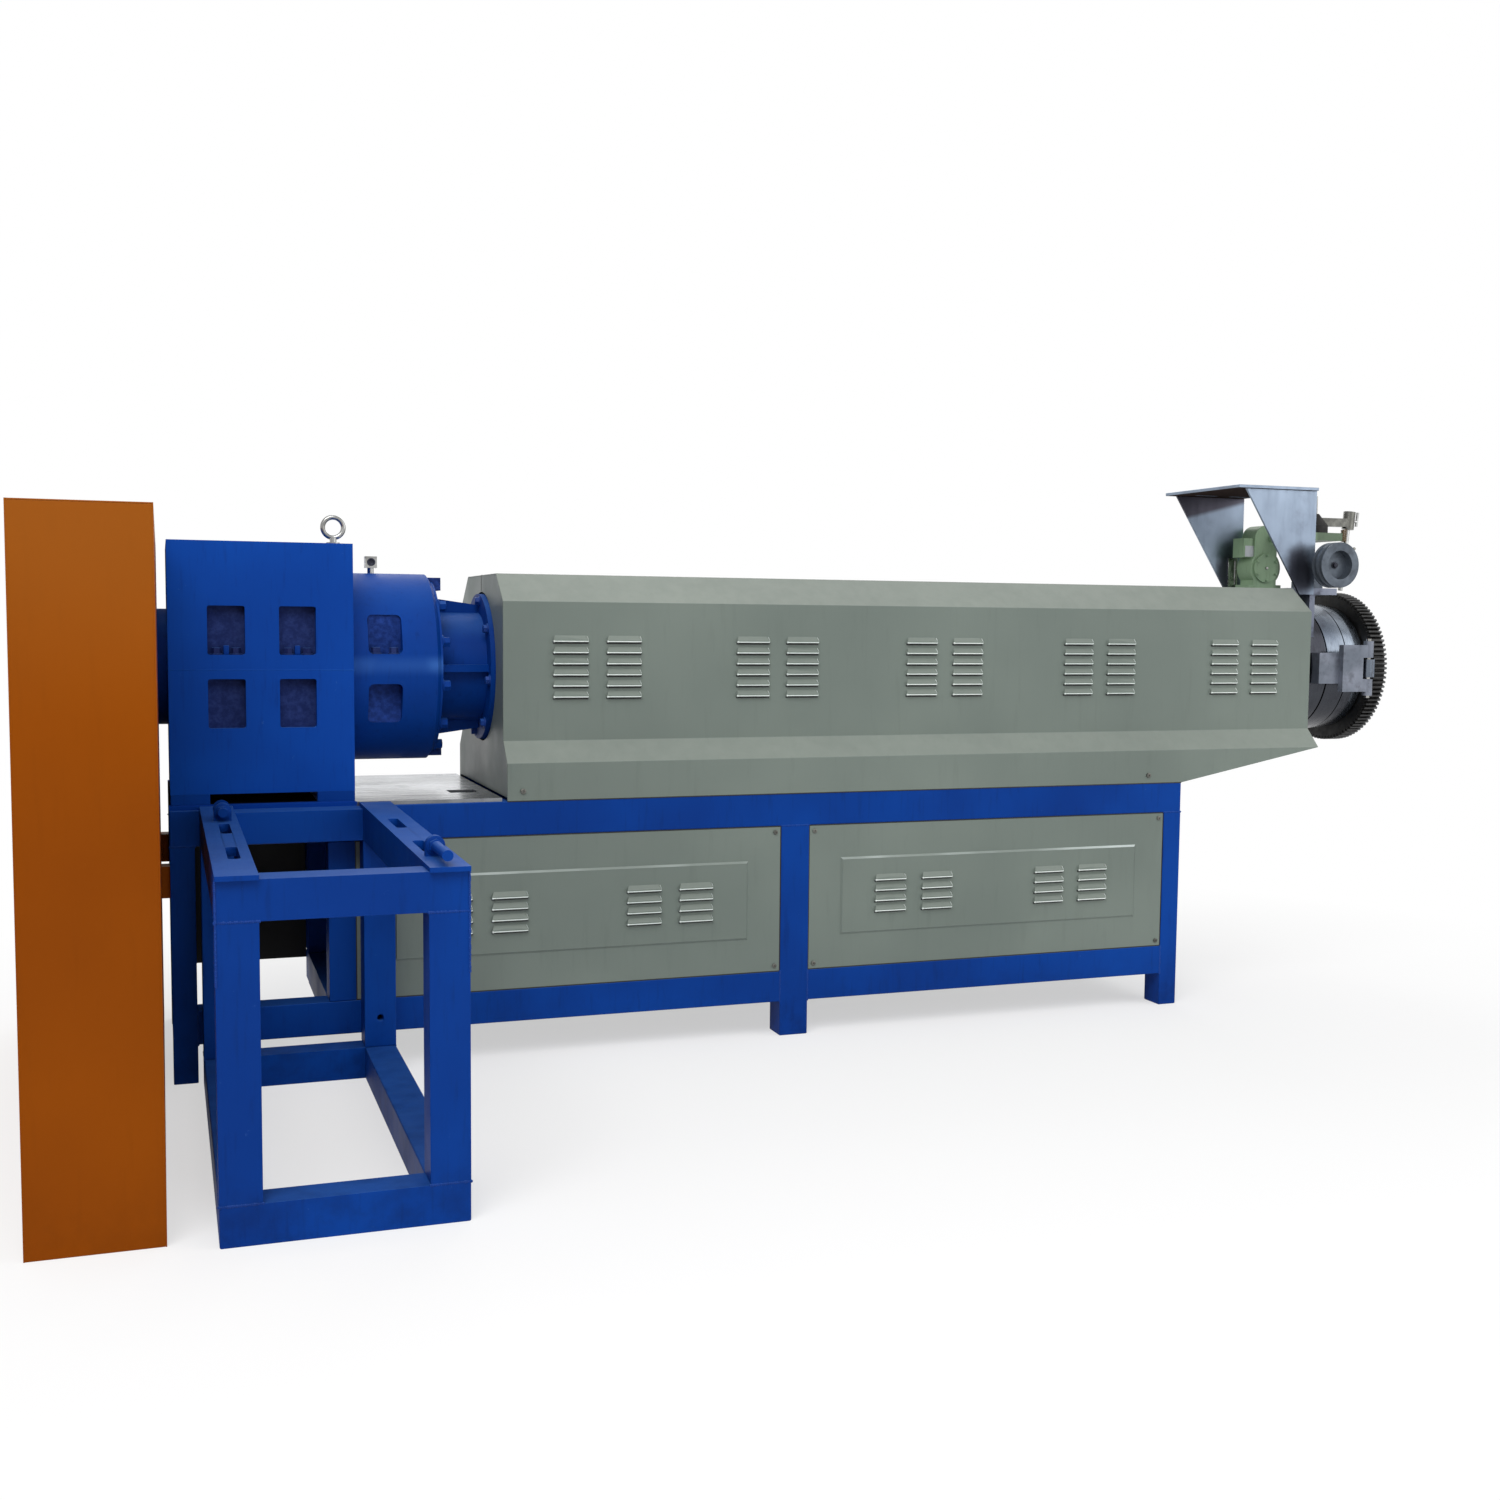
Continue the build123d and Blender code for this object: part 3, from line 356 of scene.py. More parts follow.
deckLook = dict(
    metal=1.0, dark=(122, 125, 130), light=(172, 175, 180), deep=(64, 66, 70), stain=(58, 60, 64),
    cloud=2.5, grain=5, brush=(0.9, 22, 8), grainShare=0.95, stainSize=4, stainShare=0.5, gloss=0.14,
    matt=0.34, lump=4, lumpDepth=0.06, grainDepth=0.2,
)
dieLook = dict(
    metal=1.0, dark=(92, 100, 112), light=(140, 149, 160), deep=(58, 62, 72), stain=(60, 58, 68), cloud=5,
    grain=9, brush=(40, 3, 3), grainShare=0.3, stainSize=11, stainShare=0.5, gloss=0.16, matt=0.36, lump=9,
    lumpDepth=0.05, grainDepth=0.3,
)
bracketLook = dict(
    metal=0.45, dark=(96, 103, 114), light=(128, 133, 146), deep=(66, 69, 78), stain=(50, 50, 56), cloud=7,
    grain=40, brush=(1, 1, 1), grainShare=0.4, stainSize=16, stainShare=0.35, gloss=0.38, matt=0.58,
    lump=26, lumpDepth=0.15, grainDepth=0.4,
)
sheetLook = dict(
    metal=0.9, dark=(116, 128, 144), light=(138, 151, 168), deep=(102, 112, 128), stain=(96, 100, 114),
    cloud=3.2, grain=4, brush=(9, 9, 1.2), grainShare=0.25, stainSize=5, stainShare=0.3, gloss=0.34,
    matt=0.46, lump=5, lumpDepth=0.05, grainDepth=0.1,
)
ringLook = dict(
    metal=0.4, dark=(13, 13, 13), light=(26, 25, 24), deep=(6, 6, 6), stain=(48, 44, 38), cloud=14,
    grain=60, brush=(1, 1, 1), grainShare=0.5, stainSize=38, stainShare=0.4, gloss=0.4, matt=0.65, lump=40,
    lumpDepth=0.2, grainDepth=0.4,
)
castLook = dict(
    metal=0.6, dark=(68, 75, 84), light=(90, 98, 108), deep=(46, 50, 56), stain=(52, 52, 56), cloud=12,
    grain=70, brush=(1, 1, 1), grainShare=0.3, stainSize=26, stainShare=0.35, gloss=0.38, matt=0.55,
    lump=30, lumpDepth=0.08, grainDepth=0.3,
)
platedLook = dict(
    metal=1.0, dark=(140, 140, 138), light=(182, 183, 182), deep=(92, 92, 92), stain=(100, 92, 74),
    cloud=16, grain=60, brush=(1, 1, 1), grainShare=0.25, stainSize=40, stainShare=0.3, gloss=0.14,
    matt=0.3, lump=20, lumpDepth=0.05, grainDepth=0.15,
)
barrelLook = dict(
    metal=0.7, dark=(44, 43, 44), light=(70, 68, 66), deep=(24, 24, 24), stain=(88, 62, 46), cloud=4,
    grain=20, brush=(1, 1, 1), grainShare=0.4, stainSize=8, stainShare=0.4, gloss=0.45, matt=0.7, lump=14,
    lumpDepth=0.1, grainDepth=0.4,
)
bandLook = dict(
    metal=0.9, dark=(112, 108, 102), light=(146, 142, 134), deep=(74, 70, 66), stain=(110, 82, 52),
    cloud=5, grain=20, brush=(1, 12, 12), grainShare=0.3, stainSize=9, stainShare=0.5, gloss=0.3, matt=0.5,
    lump=10, lumpDepth=0.1, grainDepth=0.3,
)
baseLook = dict(
    sheetLook, metal=0.6, dark=(92, 97, 112), light=(124, 130, 146), stain=(54, 54, 66), stainSize=22,
    stainShare=0.6,
)
plateLook = dict(sheetLook, metal=0.0, dark=(196, 201, 206), light=(212, 216, 220), stainShare=0.1)
# near black: the hood's seams, and painted shade in the gaps and under the louvre lips
jointAndShadeLook = dict(ringLook, metal=0.0, dark=(10, 11, 11), light=(18, 19, 18), stainShare=0.1)
boltSteelLook = dict(ringLook, dark=(26, 28, 40), light=(44, 46, 60), stain=(120, 124, 138))
armLook = dict(castLook, dark=(78, 78, 74), light=(116, 116, 110), metal=0.8, gloss=0.25, matt=0.42)
copperLook = dict(castLook, dark=(84, 70, 50), light=(120, 102, 76), stain=(56, 46, 36))

# where each local finish begins and how softly it ends, in metres
zones = {
    "pocketLip": 0.008, "lipFade": 0.004, "nosePocket": 0.2125, "pocketFade": 0.001,
    "smearAndHighlight": 0.034, "smearAndHighlightRise": 0.010,
    "paintEdge": 0.004, "paintFade": 0.004, "paintWander": 0.012, "shadeFade": 0.012,
    "groove": 0.121, "grooveFade": 0.002, "housingShadeLow": 0.045, "housingShadeHigh": 0.03, "housingShadeWander": 0.02,
    "toothTall": 0.005, "wornWide": 0.022,
    "pulleyShadeSide": 0.0585, "pulleyShadeRise": 0.062, "pulleyShadeCore": 0.03, "pulleyShadeEdge": 0.075, "pulleyShadeWander": 0.012,
    "plateShadowDrop": 0.012, "plateShadowLow": 0.014, "plateShadowHigh": 0.006, "farFade": 0.05,
    "guardTopLight": 0.45, "lobeStart": 0.055, "lobeFade": 0.03,
}
tints = {
    "pocketShadeDark": (21, 31, 72), "pocketShadeLight": (38, 52, 100), "noseShadeDark": (18, 38, 92),
    "noseShadeLight": (38, 66, 140), "smearAndHighlight": (66, 118, 194), "deckPaint": (10, 56, 142), "deckPaintedShade": (4, 6, 12),
    "panelInsideShade": (14, 14, 16), "brownPrimer": (54, 42, 40), "housingShade": (40, 38, 42), "wornAndHighlight": (128, 130, 132),
    "pulleyShade": (40, 36, 46), "plateShadow": (58, 50, 58), "lobeDark": (70, 82, 68), "creaseHighlight": (196, 206, 204),
    "guardTopLight": (150, 86, 26),
}
caseLip = caseHigh.y - axisY - zones["pocketLip"]
pocketGrain = 60
pulleyShadeTall = 0.6  # the painted pulley shade is taller than wide
plateShadowSlope = 0.25
primerSheen = 0.04


# the case: painted shade in its windows, mottled like rough casting
def caseEnamel():
    coat = enamelPaint("caseEnamel", caseLook)
    inside = coat.ramp(coat.depth(), caseLip - zones["lipFade"], caseLip, 1.0, 0.0)
    faced = coat.ramp(coat.size(coat.facing("Y")), 0.8, 0.95)
    rough = coat.mottle(tints["pocketShadeDark"], tints["pocketShadeLight"], pocketGrain)
    # painted shade on the window floors, mottled
    coat.cover(rough, coat.both(coat.both(inside, faced), 0.9))
    return coat


# the nose: a pale smear of sealant along its joint, brightened as a painted highlight, and painted shade in
# its windows
def noseEnamel():
    coat = enamelPaint("noseEnamel", noseLook)
    away = coat.distance((0, 0, 1), (0, 0, axisZ + zones["smearAndHighlightRise"]))
    band = coat.ramp(away, 0.0, zones["smearAndHighlight"], 1.0, 0.0)
    patches = coat.ramp(coat.noise(9, 1), 0.3, 0.7, 0.2, 0.7)
    # sealant smear, brightened as a painted highlight
    coat.cover(tints["smearAndHighlight"], coat.both(band, patches))
    floor, fade = zones["nosePocket"], zones["pocketFade"]
    inside = coat.ramp(coat.depth(), floor - fade, floor + fade, 1.0, 0.0)
    faced = coat.ramp(coat.size(coat.facing("Y")), 0.97, 0.995)
    rough = coat.mottle(tints["noseShadeDark"], tints["noseShadeLight"], pocketGrain)
    # painted shade on the window floors, mottled
    coat.cover(rough, coat.both(inside, faced))
    return coat


# the deck: planed steel, painted blue under the gearbox, with painted shade in black below its case
def deckFinish():
    coat = bareMetal("planedDeck", deckLook)
    edge = caseHigh.x + zones["paintEdge"]
    ragged = coat.ramp(coat.noise(30, 4), 0.0, 1.0, 0.0, zones["paintWander"])
    painted = coat.ramp(coat.sum(coat.axis("X"), ragged), edge, edge + zones["paintFade"], 1.0, 0.0)
    underCaseShade = coat.ramp(coat.depth(), caseLip, caseLip + zones["shadeFade"], 1.0, 0.0)
    # blue paint, with painted shade in black where the case hangs over
    coat.cover(coat.blend(tints["deckPaint"], tints["deckPaintedShade"], underCaseShade), painted)
    coat.give("Roughness", coat.math("MAXIMUM", coat.rough, painted))
    coat.give("Metallic", coat.math("SUBTRACT", 1.0, painted))
    coat.give("Specular IOR Level", primerSheen)
    return coat


# rear panels: grey outside, painted shade in black on their inside
def rearPanelFinish():
    coat = enamelPaint("rearPanelEnamel", greyLook)
    # painted shade on the faces that look inwards
    coat.cover(tints["panelInsideShade"], coat.ramp(coat.facing("Y"), -0.9, -0.5, 1.0, 0.0))
    return coat


# die housing: polished above, with painted shade below and towards the barrel
def housingFinish():
    coat = bareMetal("housingSteel", dieLook)
    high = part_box("die_housing")[1]
    groove, fade = high.x - zones["groove"], zones["grooveFade"]
    height = coat.sum(coat.axis("Z"), coat.wander(7, 5, zones["housingShadeWander"]))
    below = coat.ramp(height, axisZ - zones["housingShadeLow"], axisZ + zones["housingShadeHigh"], 0.85, 0.0)
    behind = coat.ramp(coat.axis("X"), groove - fade, groove + fade, 0.85, 0.0)
    # painted shade below the axis and left of the first groove
    coat.cover(tints["housingShade"], coat.math("MAXIMUM", below, behind))
    return coat


# lock ring: blacked steel with worn tooth tips, paler towards its right face as a painted highlight
def ringFinish():
    coat = bareMetal("blackedRing", ringLook)
    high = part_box("lock_ring")[1]
    tip = high.y - axisY
    radius = coat.distance((0, 1, 1), (0, axisY, axisZ))
    crest = coat.ramp(radius, tip - zones["toothTall"], tip)
    edge = coat.ramp(coat.axis("X"), high.x - zones["wornWide"], high.x, 0.12, 0.75)
    wornAndHighlight = coat.both(crest, coat.ramp(coat.noise(60, 5, 0.7), 0.3, 0.6))
    # wear on the tooth tips, with a painted highlight towards the right face
    coat.cover(tints["wornAndHighlight"], coat.both(wornAndHighlight, edge))
    return coat


# side plates: painted shade, dark like grease, where they meet the pulley, and on the far one a painted
# shadow of the top plate
def cheekFinish():
    coat = bareMetal("cheekSteel", sheetLook)
    middle = (cheekHigh.x - zones["pulleyShadeSide"], 0, (cheekLow.z + zones["pulleyShadeRise"]) * pulleyShadeTall)
    ragged = coat.wander(12, 4, zones["pulleyShadeWander"])
    away = coat.sum(coat.distance((1, 0, pulleyShadeTall), middle), ragged)
    # painted shade of the pulley, dark like grease
    coat.cover(tints["pulleyShade"], coat.ramp(away, zones["pulleyShadeCore"], zones["pulleyShadeEdge"], 0.82, 0.0))
    brink = cheekHigh.z - zones["plateShadowDrop"] - cheekHigh.x * plateShadowSlope
    height = coat.along((-plateShadowSlope, 0, 1))
    plateShadow = coat.ramp(height, brink - zones["plateShadowLow"], brink + zones["plateShadowHigh"], 0.0, 0.85)
    far = coat.ramp(coat.axis("Y"), axisY, axisY + zones["farFade"])
    # painted shadow of the top plate on the far plate
    coat.cover(tints["plateShadow"], coat.both(plateShadow, far))
    return coat


# top plate: brown primer below
def topPlateFinish():
    coat = bareMetal("topPlateSteel", sheetLook)
    below = coat.ramp(coat.facing("Z"), -0.9, -0.5, 1.0, 0.0)
    coat.cover(tints["brownPrimer"], below)
    coat.give("Roughness", coat.math("MAXIMUM", coat.rough, below))
    coat.give("Metallic", coat.ramp(below, 0.0, 1.0, sheetLook["metal"], 0.0))
    coat.give("Specular IOR Level", primerSheen)
    return coat


# reducer: darker on its lobe under the clamp arm
def reducerEnamel():
    coat = enamelPaint("greenEnamel", greenLook)
    start = cheekHigh.x + zones["lobeStart"]
    coat.cover(tints["lobeDark"], coat.ramp(coat.axis("X"), start, start + zones["lobeFade"], 0.0, 0.8))
    return coat


# pressed edge of the bay panels: a painted highlight in patches where it faces up
def creaseHighlightEnamel():
    coat = enamelPaint("creaseHighlightEnamel", greyLook)
    upper = coat.ramp(coat.facing("Z"), 0.32, 0.45)
    patchy = coat.ramp(coat.noise(2.2, 3), 0.38, 0.68, 0.1, 0.8)
    # painted highlight on the upward-facing slope
    coat.cover(tints["creaseHighlight"], coat.both(upper, patchy))
    return coat


# guard: painted light, paler towards its top
def guardFinish():
    coat = enamelPaint("guardEnamel", orangeLook)
    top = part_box("guard_front")[1].z
    upper = coat.ramp(coat.axis("Z"), top - zones["guardTopLight"], top, 0.0, 0.55)
    # painted light towards the top
    coat.cover(tints["guardTopLight"], upper)
    return coat


plainEnamels = {
    "blue": ("blueEnamel", blueLook), "capLitBlue": ("capLitEnamel", capLitLook), "grey": ("greyEnamel", greyLook),
    "sealant": ("sealantLine", sealantLook), "weldBlue": ("weldEnamel", weldLook),
    "boltBlue": ("boltEnamel", boltLook), "pocketBolt": ("pocketBoltEnamel", pocketBoltLook),
    "lip": ("lipHighlightEnamel", lipHighlightLook),
}
plainMetals = {
    "die": ("turnedSteel", dieLook), "bracket": ("castBracket", bracketLook),
    "baseSteel": ("baseSteel", baseLook), "black": ("blackedSteel", ringLook), "cast": ("castIron", castLook),
    "arm": ("forgedArm", armLook), "plated": ("zincPlate", platedLook), "barrel": ("hotBarrel", barrelLook),
    "band": ("heaterBand", bandLook), "gap": ("darkJointAndShade", jointAndShadeLook), "darkBolt": ("boltSteel", boltSteelLook),
    "copper": ("springWire", copperLook), "plate": ("barePlate", plateLook),
}
finishes = {
    "case": caseEnamel(), "nose": noseEnamel(), "orange": guardFinish(), "rearPanel": rearPanelFinish(),
    "green": reducerEnamel(), "deck": deckFinish(), "housing": housingFinish(), "cheek": cheekFinish(),
    "topPlate": topPlateFinish(), "ring": ringFinish(), "crease": creaseHighlightEnamel(),
}
for key, (name, look) in plainEnamels.items():
    finishes[key] = enamelPaint(name, look)
for key, (name, look) in plainMetals.items():
    finishes[key] = bareMetal(name, look)

nodeFinish = {
    "blue": ["base_legs", "base_top_rails", "base_lower_rails", "base_cross_rails", "stand_posts",
             "stand_cross_rails", "stand_floor_rails", "motor_rails", "tension_bolts", "gearbox_feet",
             "lantern", "barrel_flange"],
    "capLitBlue": ["input_cap"],
    "case": ["gearbox_lower_case", "gearbox_upper_case"],
    "nose": ["gearbox_nose"],
    "orange": ["guard_outer_side", "guard_inner_side", "guard_front", "guard_rear", "guard_top",
               "guard_brackets"],
    "grey": ["front_panel_left", "front_panel_right", "hood_front", "hood_rear", "hood_end_front",
             "hood_end_rear"],
    "rearPanel": ["rear_panels"],
    "deck": ["deck_plate"],
    "housing": ["die_housing"],
    "die": ["die_door", "die_plate"],
    "bracket": ["hinge_bracket"],
    "cheek": ["drive_side_plates"],
    "topPlate": ["drive_top_plate"],
    "baseSteel": ["drive_base_plate", "drive_posts"],
    "ring": ["lock_ring"],
    "black": ["arm_swivel"],
    "cast": ["drive_pulley", "pulley_bearing"],
    "arm": ["lock_arm"],
    "green": ["reducer"],
    "plated": ["lifting_eye", "breather", "hinge_pin", "pulley_shaft", "lock_rod", "lock_handle"],
    "barrel": ["barrel", "barrel_supports"],
    "band": ["heater_bands"],
}


def dressNodes():
    for key, names in nodeFinish.items():
        for name in names:
            slots = nodes[name].data.materials
            slots.clear()
            slots.append(finishes[key].material)
    print("finishes on", sum(len(names) for names in nodeFinish.values()), "nodes")


def setMode(mode):
    bpy.ops.object.mode_set(mode=mode)


def clearSelection():
    if bpy.context.mode != "OBJECT":
        setMode("OBJECT")
    bpy.ops.object.select_all(action="DESELECT")


def only(piece):
    clearSelection()
    piece.select_set(True)
    bpy.context.view_layer.objects.active = piece


# puts an object's place, turn and scale in its mesh
def bakePlace():
    bpy.ops.object.transform_apply(location=True, rotation=True, scale=True)


# takes the primitive just added, bakes its place and opens it for editing
def openPiece(name):
    piece = bpy.context.object
    piece.name = name
    bakePlace()
    setMode("EDIT")
    return piece


def openCylinder(name, sides, radius, depth, place=(0, 0, 0), turn=(0, 0, 0)):
    clearSelection()
    bpy.ops.mesh.primitive_cylinder_add(
        vertices=sides, radius=radius, depth=depth, location=place, rotation=turn
    )
    return openPiece(name)


squareOn = 0.99  # a face looks in a direction from this cosine up


# selects the faces that look in one of the directions and lie above a height
def pickFaces(piece, *directions, above=-math.inf):
    bpy.ops.mesh.select_mode(type="FACE")
    bpy.ops.mesh.select_all(action="DESELECT")
    mesh = bmesh.from_edit_mesh(piece.data)
    for face in mesh.faces:
        faced = any(face.normal.dot(direction) > squareOn for direction in directions)
        if faced and face.calc_center_median().z > above:
            face.select_set(True)
    mesh.select_flush_mode()
    bmesh.update_edit_mesh(piece.data)


def insetFaces(thickness, step):
    bpy.ops.mesh.inset(thickness=thickness)
    bpy.ops.transform.translate(value=step)


def pushOut(step):
    bpy.ops.mesh.extrude_region_move(TRANSFORM_OT_translate={"value": tuple(step)})


def applyModifiers(piece):
    only(piece)
    for modifier in list(piece.modifiers):
        bpy.ops.object.modifier_apply(modifier=modifier.name)


# drops the picked faces and gives what is left a wall
def closeFrame(piece, thick):
    bpy.ops.mesh.delete(type="FACE")
    wall = piece.modifiers.new("wall", "SOLIDIFY")
    wall.thickness = thick
    wall.offset = -1
    applyModifiers(piece)


def finishPiece(piece, finish, body="machine", angle=35):
    only(piece)
    bpy.ops.object.shade_smooth_by_angle(angle=math.radians(angle))
    piece.data.materials.clear()
    piece.data.materials.append(finishes[finish].material)
    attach(piece, body)
    print("made", piece.name, "with", len(piece.data.polygons), "faces")


# copies of one model, each with its own mesh, seated at (place, outward direction), joined to one piece
def placeCopies(model, name, places, spin=True, sizeSpread=0.0):
    draw = random.Random(name)
    copies = []
    for spot, outward in places:
        copy = model.copy()
        copy.data = model.data.copy()
        bpy.context.scene.collection.objects.link(copy)
        faceBack = math.pi if spot.y > axisY else 0.0
        turn = draw.uniform(0, math.tau) if spin else faceBack
        size = 1 + draw.uniform(-sizeSpread, sizeSpread)
        seat = Matrix.Translation(spot) @ upwards.rotation_difference(outward).to_matrix().to_4x4()
        copy.matrix_world = seat @ Matrix.Rotation(turn, 4, "Z") @ Matrix.Scale(size, 4)
        copies.append(copy)
    bpy.data.objects.remove(model, do_unlink=True)
    bpy.context.view_layer.update()
    clearSelection()
    for copy in copies:
        copy.select_set(True)
    bpy.context.view_layer.objects.active = copies[0]
    bpy.ops.object.join()
    piece = bpy.context.object
    piece.name = name
    bakePlace()
    return piece


def seatCopies(model, name, places, finish, body="machine", angle=35, spin=True, sizeSpread=0.0):
    finishPiece(placeCopies(model, name, places, spin, sizeSpread), finish, body, angle)


# the same places on the machine's far side
def bothSides(places):
    far = []
    for spot, outward in places:
        far.append((Vector((spot.x, 2 * axisY - spot.y, spot.z)), Vector((outward.x, -outward.y, outward.z))))
    return places + far


# the middle of each bay panel, a little in front of its sheet
def panelMiddles(proud):
    places = []
    for low, high in panelBoxes:
        middle = (low + high) / 2
        places.append((Vector((middle.x, panelFace - proud, middle.z)), upwards))
    return bothSides(places)


# places round the machine's axis, without those near the middle plane
def boltCircle(x, outward, setup):
    places = []
    for number in range(setup["count"]):
        angle = math.radians(setup["first"] + 360 / setup["count"] * number)
        side = -setup["pitch"] * math.cos(angle)
        if abs(side) > setup["clear"]:
            places.append((Vector((x, axisY + side, axisZ + setup["pitch"] * math.sin(angle))), outward))
    return places


# shares of the bolt's radius, and of the washer's thickness for its rim
boltShape = {
    "washerWide": 1.32, "washerThick": 0.2, "washerSides": 20, "rim": 0.4, "rimRise": 0.25, "chamfer": 0.16,
    "crown": 0.09,
}


def modelBolt(radius, height):
    shape = boltShape
    wide = radius * shape["washerWide"]
    thick = radius * shape["washerThick"]
    bolt = openCylinder("boltModel", shape["washerSides"], wide, thick, upwards * thick / 2)
    pickFaces(bolt, upwards)
    insetFaces(thick * shape["rim"], upwards * thick * shape["rimRise"])
    bpy.ops.mesh.primitive_cylinder_add(
        vertices=6, radius=radius, depth=height, location=upwards * (thick + height / 2)
    )
    pickFaces(bolt, upwards, above=thick + height * 0.9)
    insetFaces(radius * shape["chamfer"], upwards * radius * shape["crown"])
    setMode("OBJECT")
    return bolt


# shares of the screw's radius
screwShape = {"sides": 16, "height": 0.5, "shoulder": 0.28, "dome": 0.16, "socket": 0.3, "depth": 0.32}


def modelScrew(radius):
    shape = screwShape
    height = radius * shape["height"]
    screw = openCylinder("screwModel", shape["sides"], radius, height, upwards * height / 2)
    pickFaces(screw, upwards)
    insetFaces(radius * shape["shoulder"], upwards * radius * shape["dome"])
    bpy.ops.mesh.inset(thickness=radius * shape["socket"])
    pushOut(-upwards * radius * shape["depth"])
    setMode("OBJECT")
    return screw


# a block with softened edges between two corners
def softBlock(name, low, high, soft):
    clearSelection()
    bpy.ops.mesh.primitive_cube_add(size=1, location=(low + high) / 2, scale=high - low)
    block = openPiece(name)
    bpy.ops.mesh.select_all(action="SELECT")
    bpy.ops.mesh.bevel(offset=soft, segments=2, profile=0.6)
    setMode("OBJECT")
    return block


# an upright sheet that faces the front, open for editing with its face picked
def openSheet(name, long, tall):
    clearSelection()
    bpy.ops.mesh.primitive_plane_add(size=1, rotation=(math.pi / 2, 0, 0))
    bpy.context.object.scale = (long, tall, 1)
    sheet = openPiece(name)
    pickFaces(sheet, frontward)
    return sheet


# bolts of the case joint, standing in the upper windows beside a short cast rib
windowSetup = {
    "caseMiddles": (0.141, 0.317),  # from the case's left end
    "caseSill": 0.039,  # above the joint
    "caseDepth": 0.018,
    "noseMiddle": 0.092,  # from the nose's left end
    "noseSill": 0.040,
    "noseDepth": 0.026,
    "boltGap": 0.024,
    "boltRadius": 0.012,
    "boltHeight": 0.015,
    "rib": (0.014, 0.02, 0.024),
    "ribSoft": 0.003,
}


def makeWindowBolts():
    setup = windowSetup
    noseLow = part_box("gearbox_nose")[0]
    sills = []
    for middle in setup["caseMiddles"]:
        sills.append(caseLow + Vector((middle, setup["caseDepth"], setup["caseSill"])))
    noseX = caseHigh.x + setup["noseMiddle"]
    nose = Vector((noseX, noseLow.y + setup["noseDepth"], axisZ + setup["noseSill"]))
    places = []
    for sill in sills + [nose]:
        for side in (-1, 1):
            places.append((sill + alongX * side * setup["boltGap"], upwards))
    bolt = modelBolt(setup["boltRadius"], setup["boltHeight"])
    seatCopies(bolt, "windowBolts", bothSides(places), "pocketBolt")
    half = Vector(setup["rib"]) / 2
    lift = upwards * half.z
    rib = softBlock("ribModel", lift - half, lift + half, setup["ribSoft"])
    places = bothSides([(sill, upwards) for sill in sills])
    seatCopies(rib, "windowRibs", places, "blue", spin=False)


# bolts round the end of the gearbox nose, between its ears, and round the barrel flange
flangeSetup = {
    "noseBolts": {
        "pitch": 0.228, "first": 18.5, "count": 12, "clear": 0.062, "radius": 0.0145, "height": 0.018,
        "finish": "blue",
    },
    "flangeBolts": {
        "pitch": 0.190, "first": -10, "count": 8, "clear": 0.0, "radius": 0.0115, "height": 0.01,
        "finish": "boltBlue",
    },
}


def makeFlangeBolts():
    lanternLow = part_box("lantern")[0]
    seats = {"noseBolts": (lanternLow.x, alongX), "flangeBolts": (flangeLow.x, -alongX)}
    for name, setup in flangeSetup.items():
        bolt = modelBolt(setup["radius"], setup["height"])
        seatCopies(bolt, name, boltCircle(*seats[name], setup), setup["finish"])


# the pale line of sealant in the joint of the gearbox case
caseSeamSetup = {"height": 0.002, "proud": 0.0006, "wall": 0.004, "soft": 0.0006}


def makeCaseSeam():
    setup = caseSeamSetup
    size = caseHigh - caseLow
    middle = (caseLow + caseHigh) / 2
    middle.z = caseLow.z
    scale = (size.x + 2 * setup["proud"], size.y + 2 * setup["proud"], setup["height"])
    clearSelection()
    bpy.ops.mesh.primitive_cube_add(size=1, location=middle, scale=scale)
    seam = openPiece("caseSeam")
    pickFaces(seam, upwards, -upwards)
    closeFrame(seam, setup["wall"])
    soft = seam.modifiers.new("soft", "BEVEL")
    soft.width = setup["soft"]
    soft.segments = 2
    applyModifiers(seam)
    finishPiece(seam, "sealant")


# the joint between the hood's two halves: along its top and down the end plate above the barrel
hoodSeamSetup = {"width": 0.004, "thick": 0.001, "proud": 0.0006, "holeTop": 0.216, "soft": 0.0004}


def makeHoodSeams():
    setup = hoodSeamSetup
    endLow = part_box("hood_end_front")[0]
    left, right = axisY - setup["width"] / 2, axisY + setup["width"] / 2
    top = hoodHigh.z + setup["proud"]
    end = endLow.x - setup["proud"]
    seams = {
        "hoodTopSeam": ((hoodLow.x, left, top - setup["thick"]), (hoodHigh.x, right, top)),
        "hoodEndSeam": ((end, left, axisZ + setup["holeTop"]), (end + setup["thick"], right, hoodHigh.z)),
    }
    for name, (low, high) in seams.items():
        finishPiece(softBlock(name, Vector(low), Vector(high), setup["soft"]), "gap")


# screws that hold the hood's skirt and the bay panels
screwSetup = {
    "hoodPlaces": ((0.043, 0.027), (2.007, 0.025)),  # from the hood's left end, above its foot
    "hoodRadius": 0.0075,
    "panelInset": 0.018,
    "panelRadius": 0.0065,
}


def makeScrews():
    setup = screwSetup
    places = []
    for side, rise in setup["hoodPlaces"]:
        places.append((Vector((hoodLow.x + side, railLow.y, railHigh.z + rise)), frontward))
    seatCopies(modelScrew(setup["hoodRadius"]), "hoodScrews", bothSides(places), "arm")
    places = []
    inset = setup["panelInset"]
    for low, high in panelBoxes:
        for x in (low.x + inset, high.x - inset):
            for z in (low.z + inset, high.z - inset):
                places.append((Vector((x, panelFace, z)), frontward))
    seatCopies(modelScrew(setup["panelRadius"]), "panelScrews", bothSides(places), "arm")


# painted shade: dark strips in the gaps round the bay panels and under the hood's skirt
gapSetup = {"wide": 0.003, "thick": 0.0008, "proud": 0.0004, "footTall": 0.003, "soft": 0.0003}


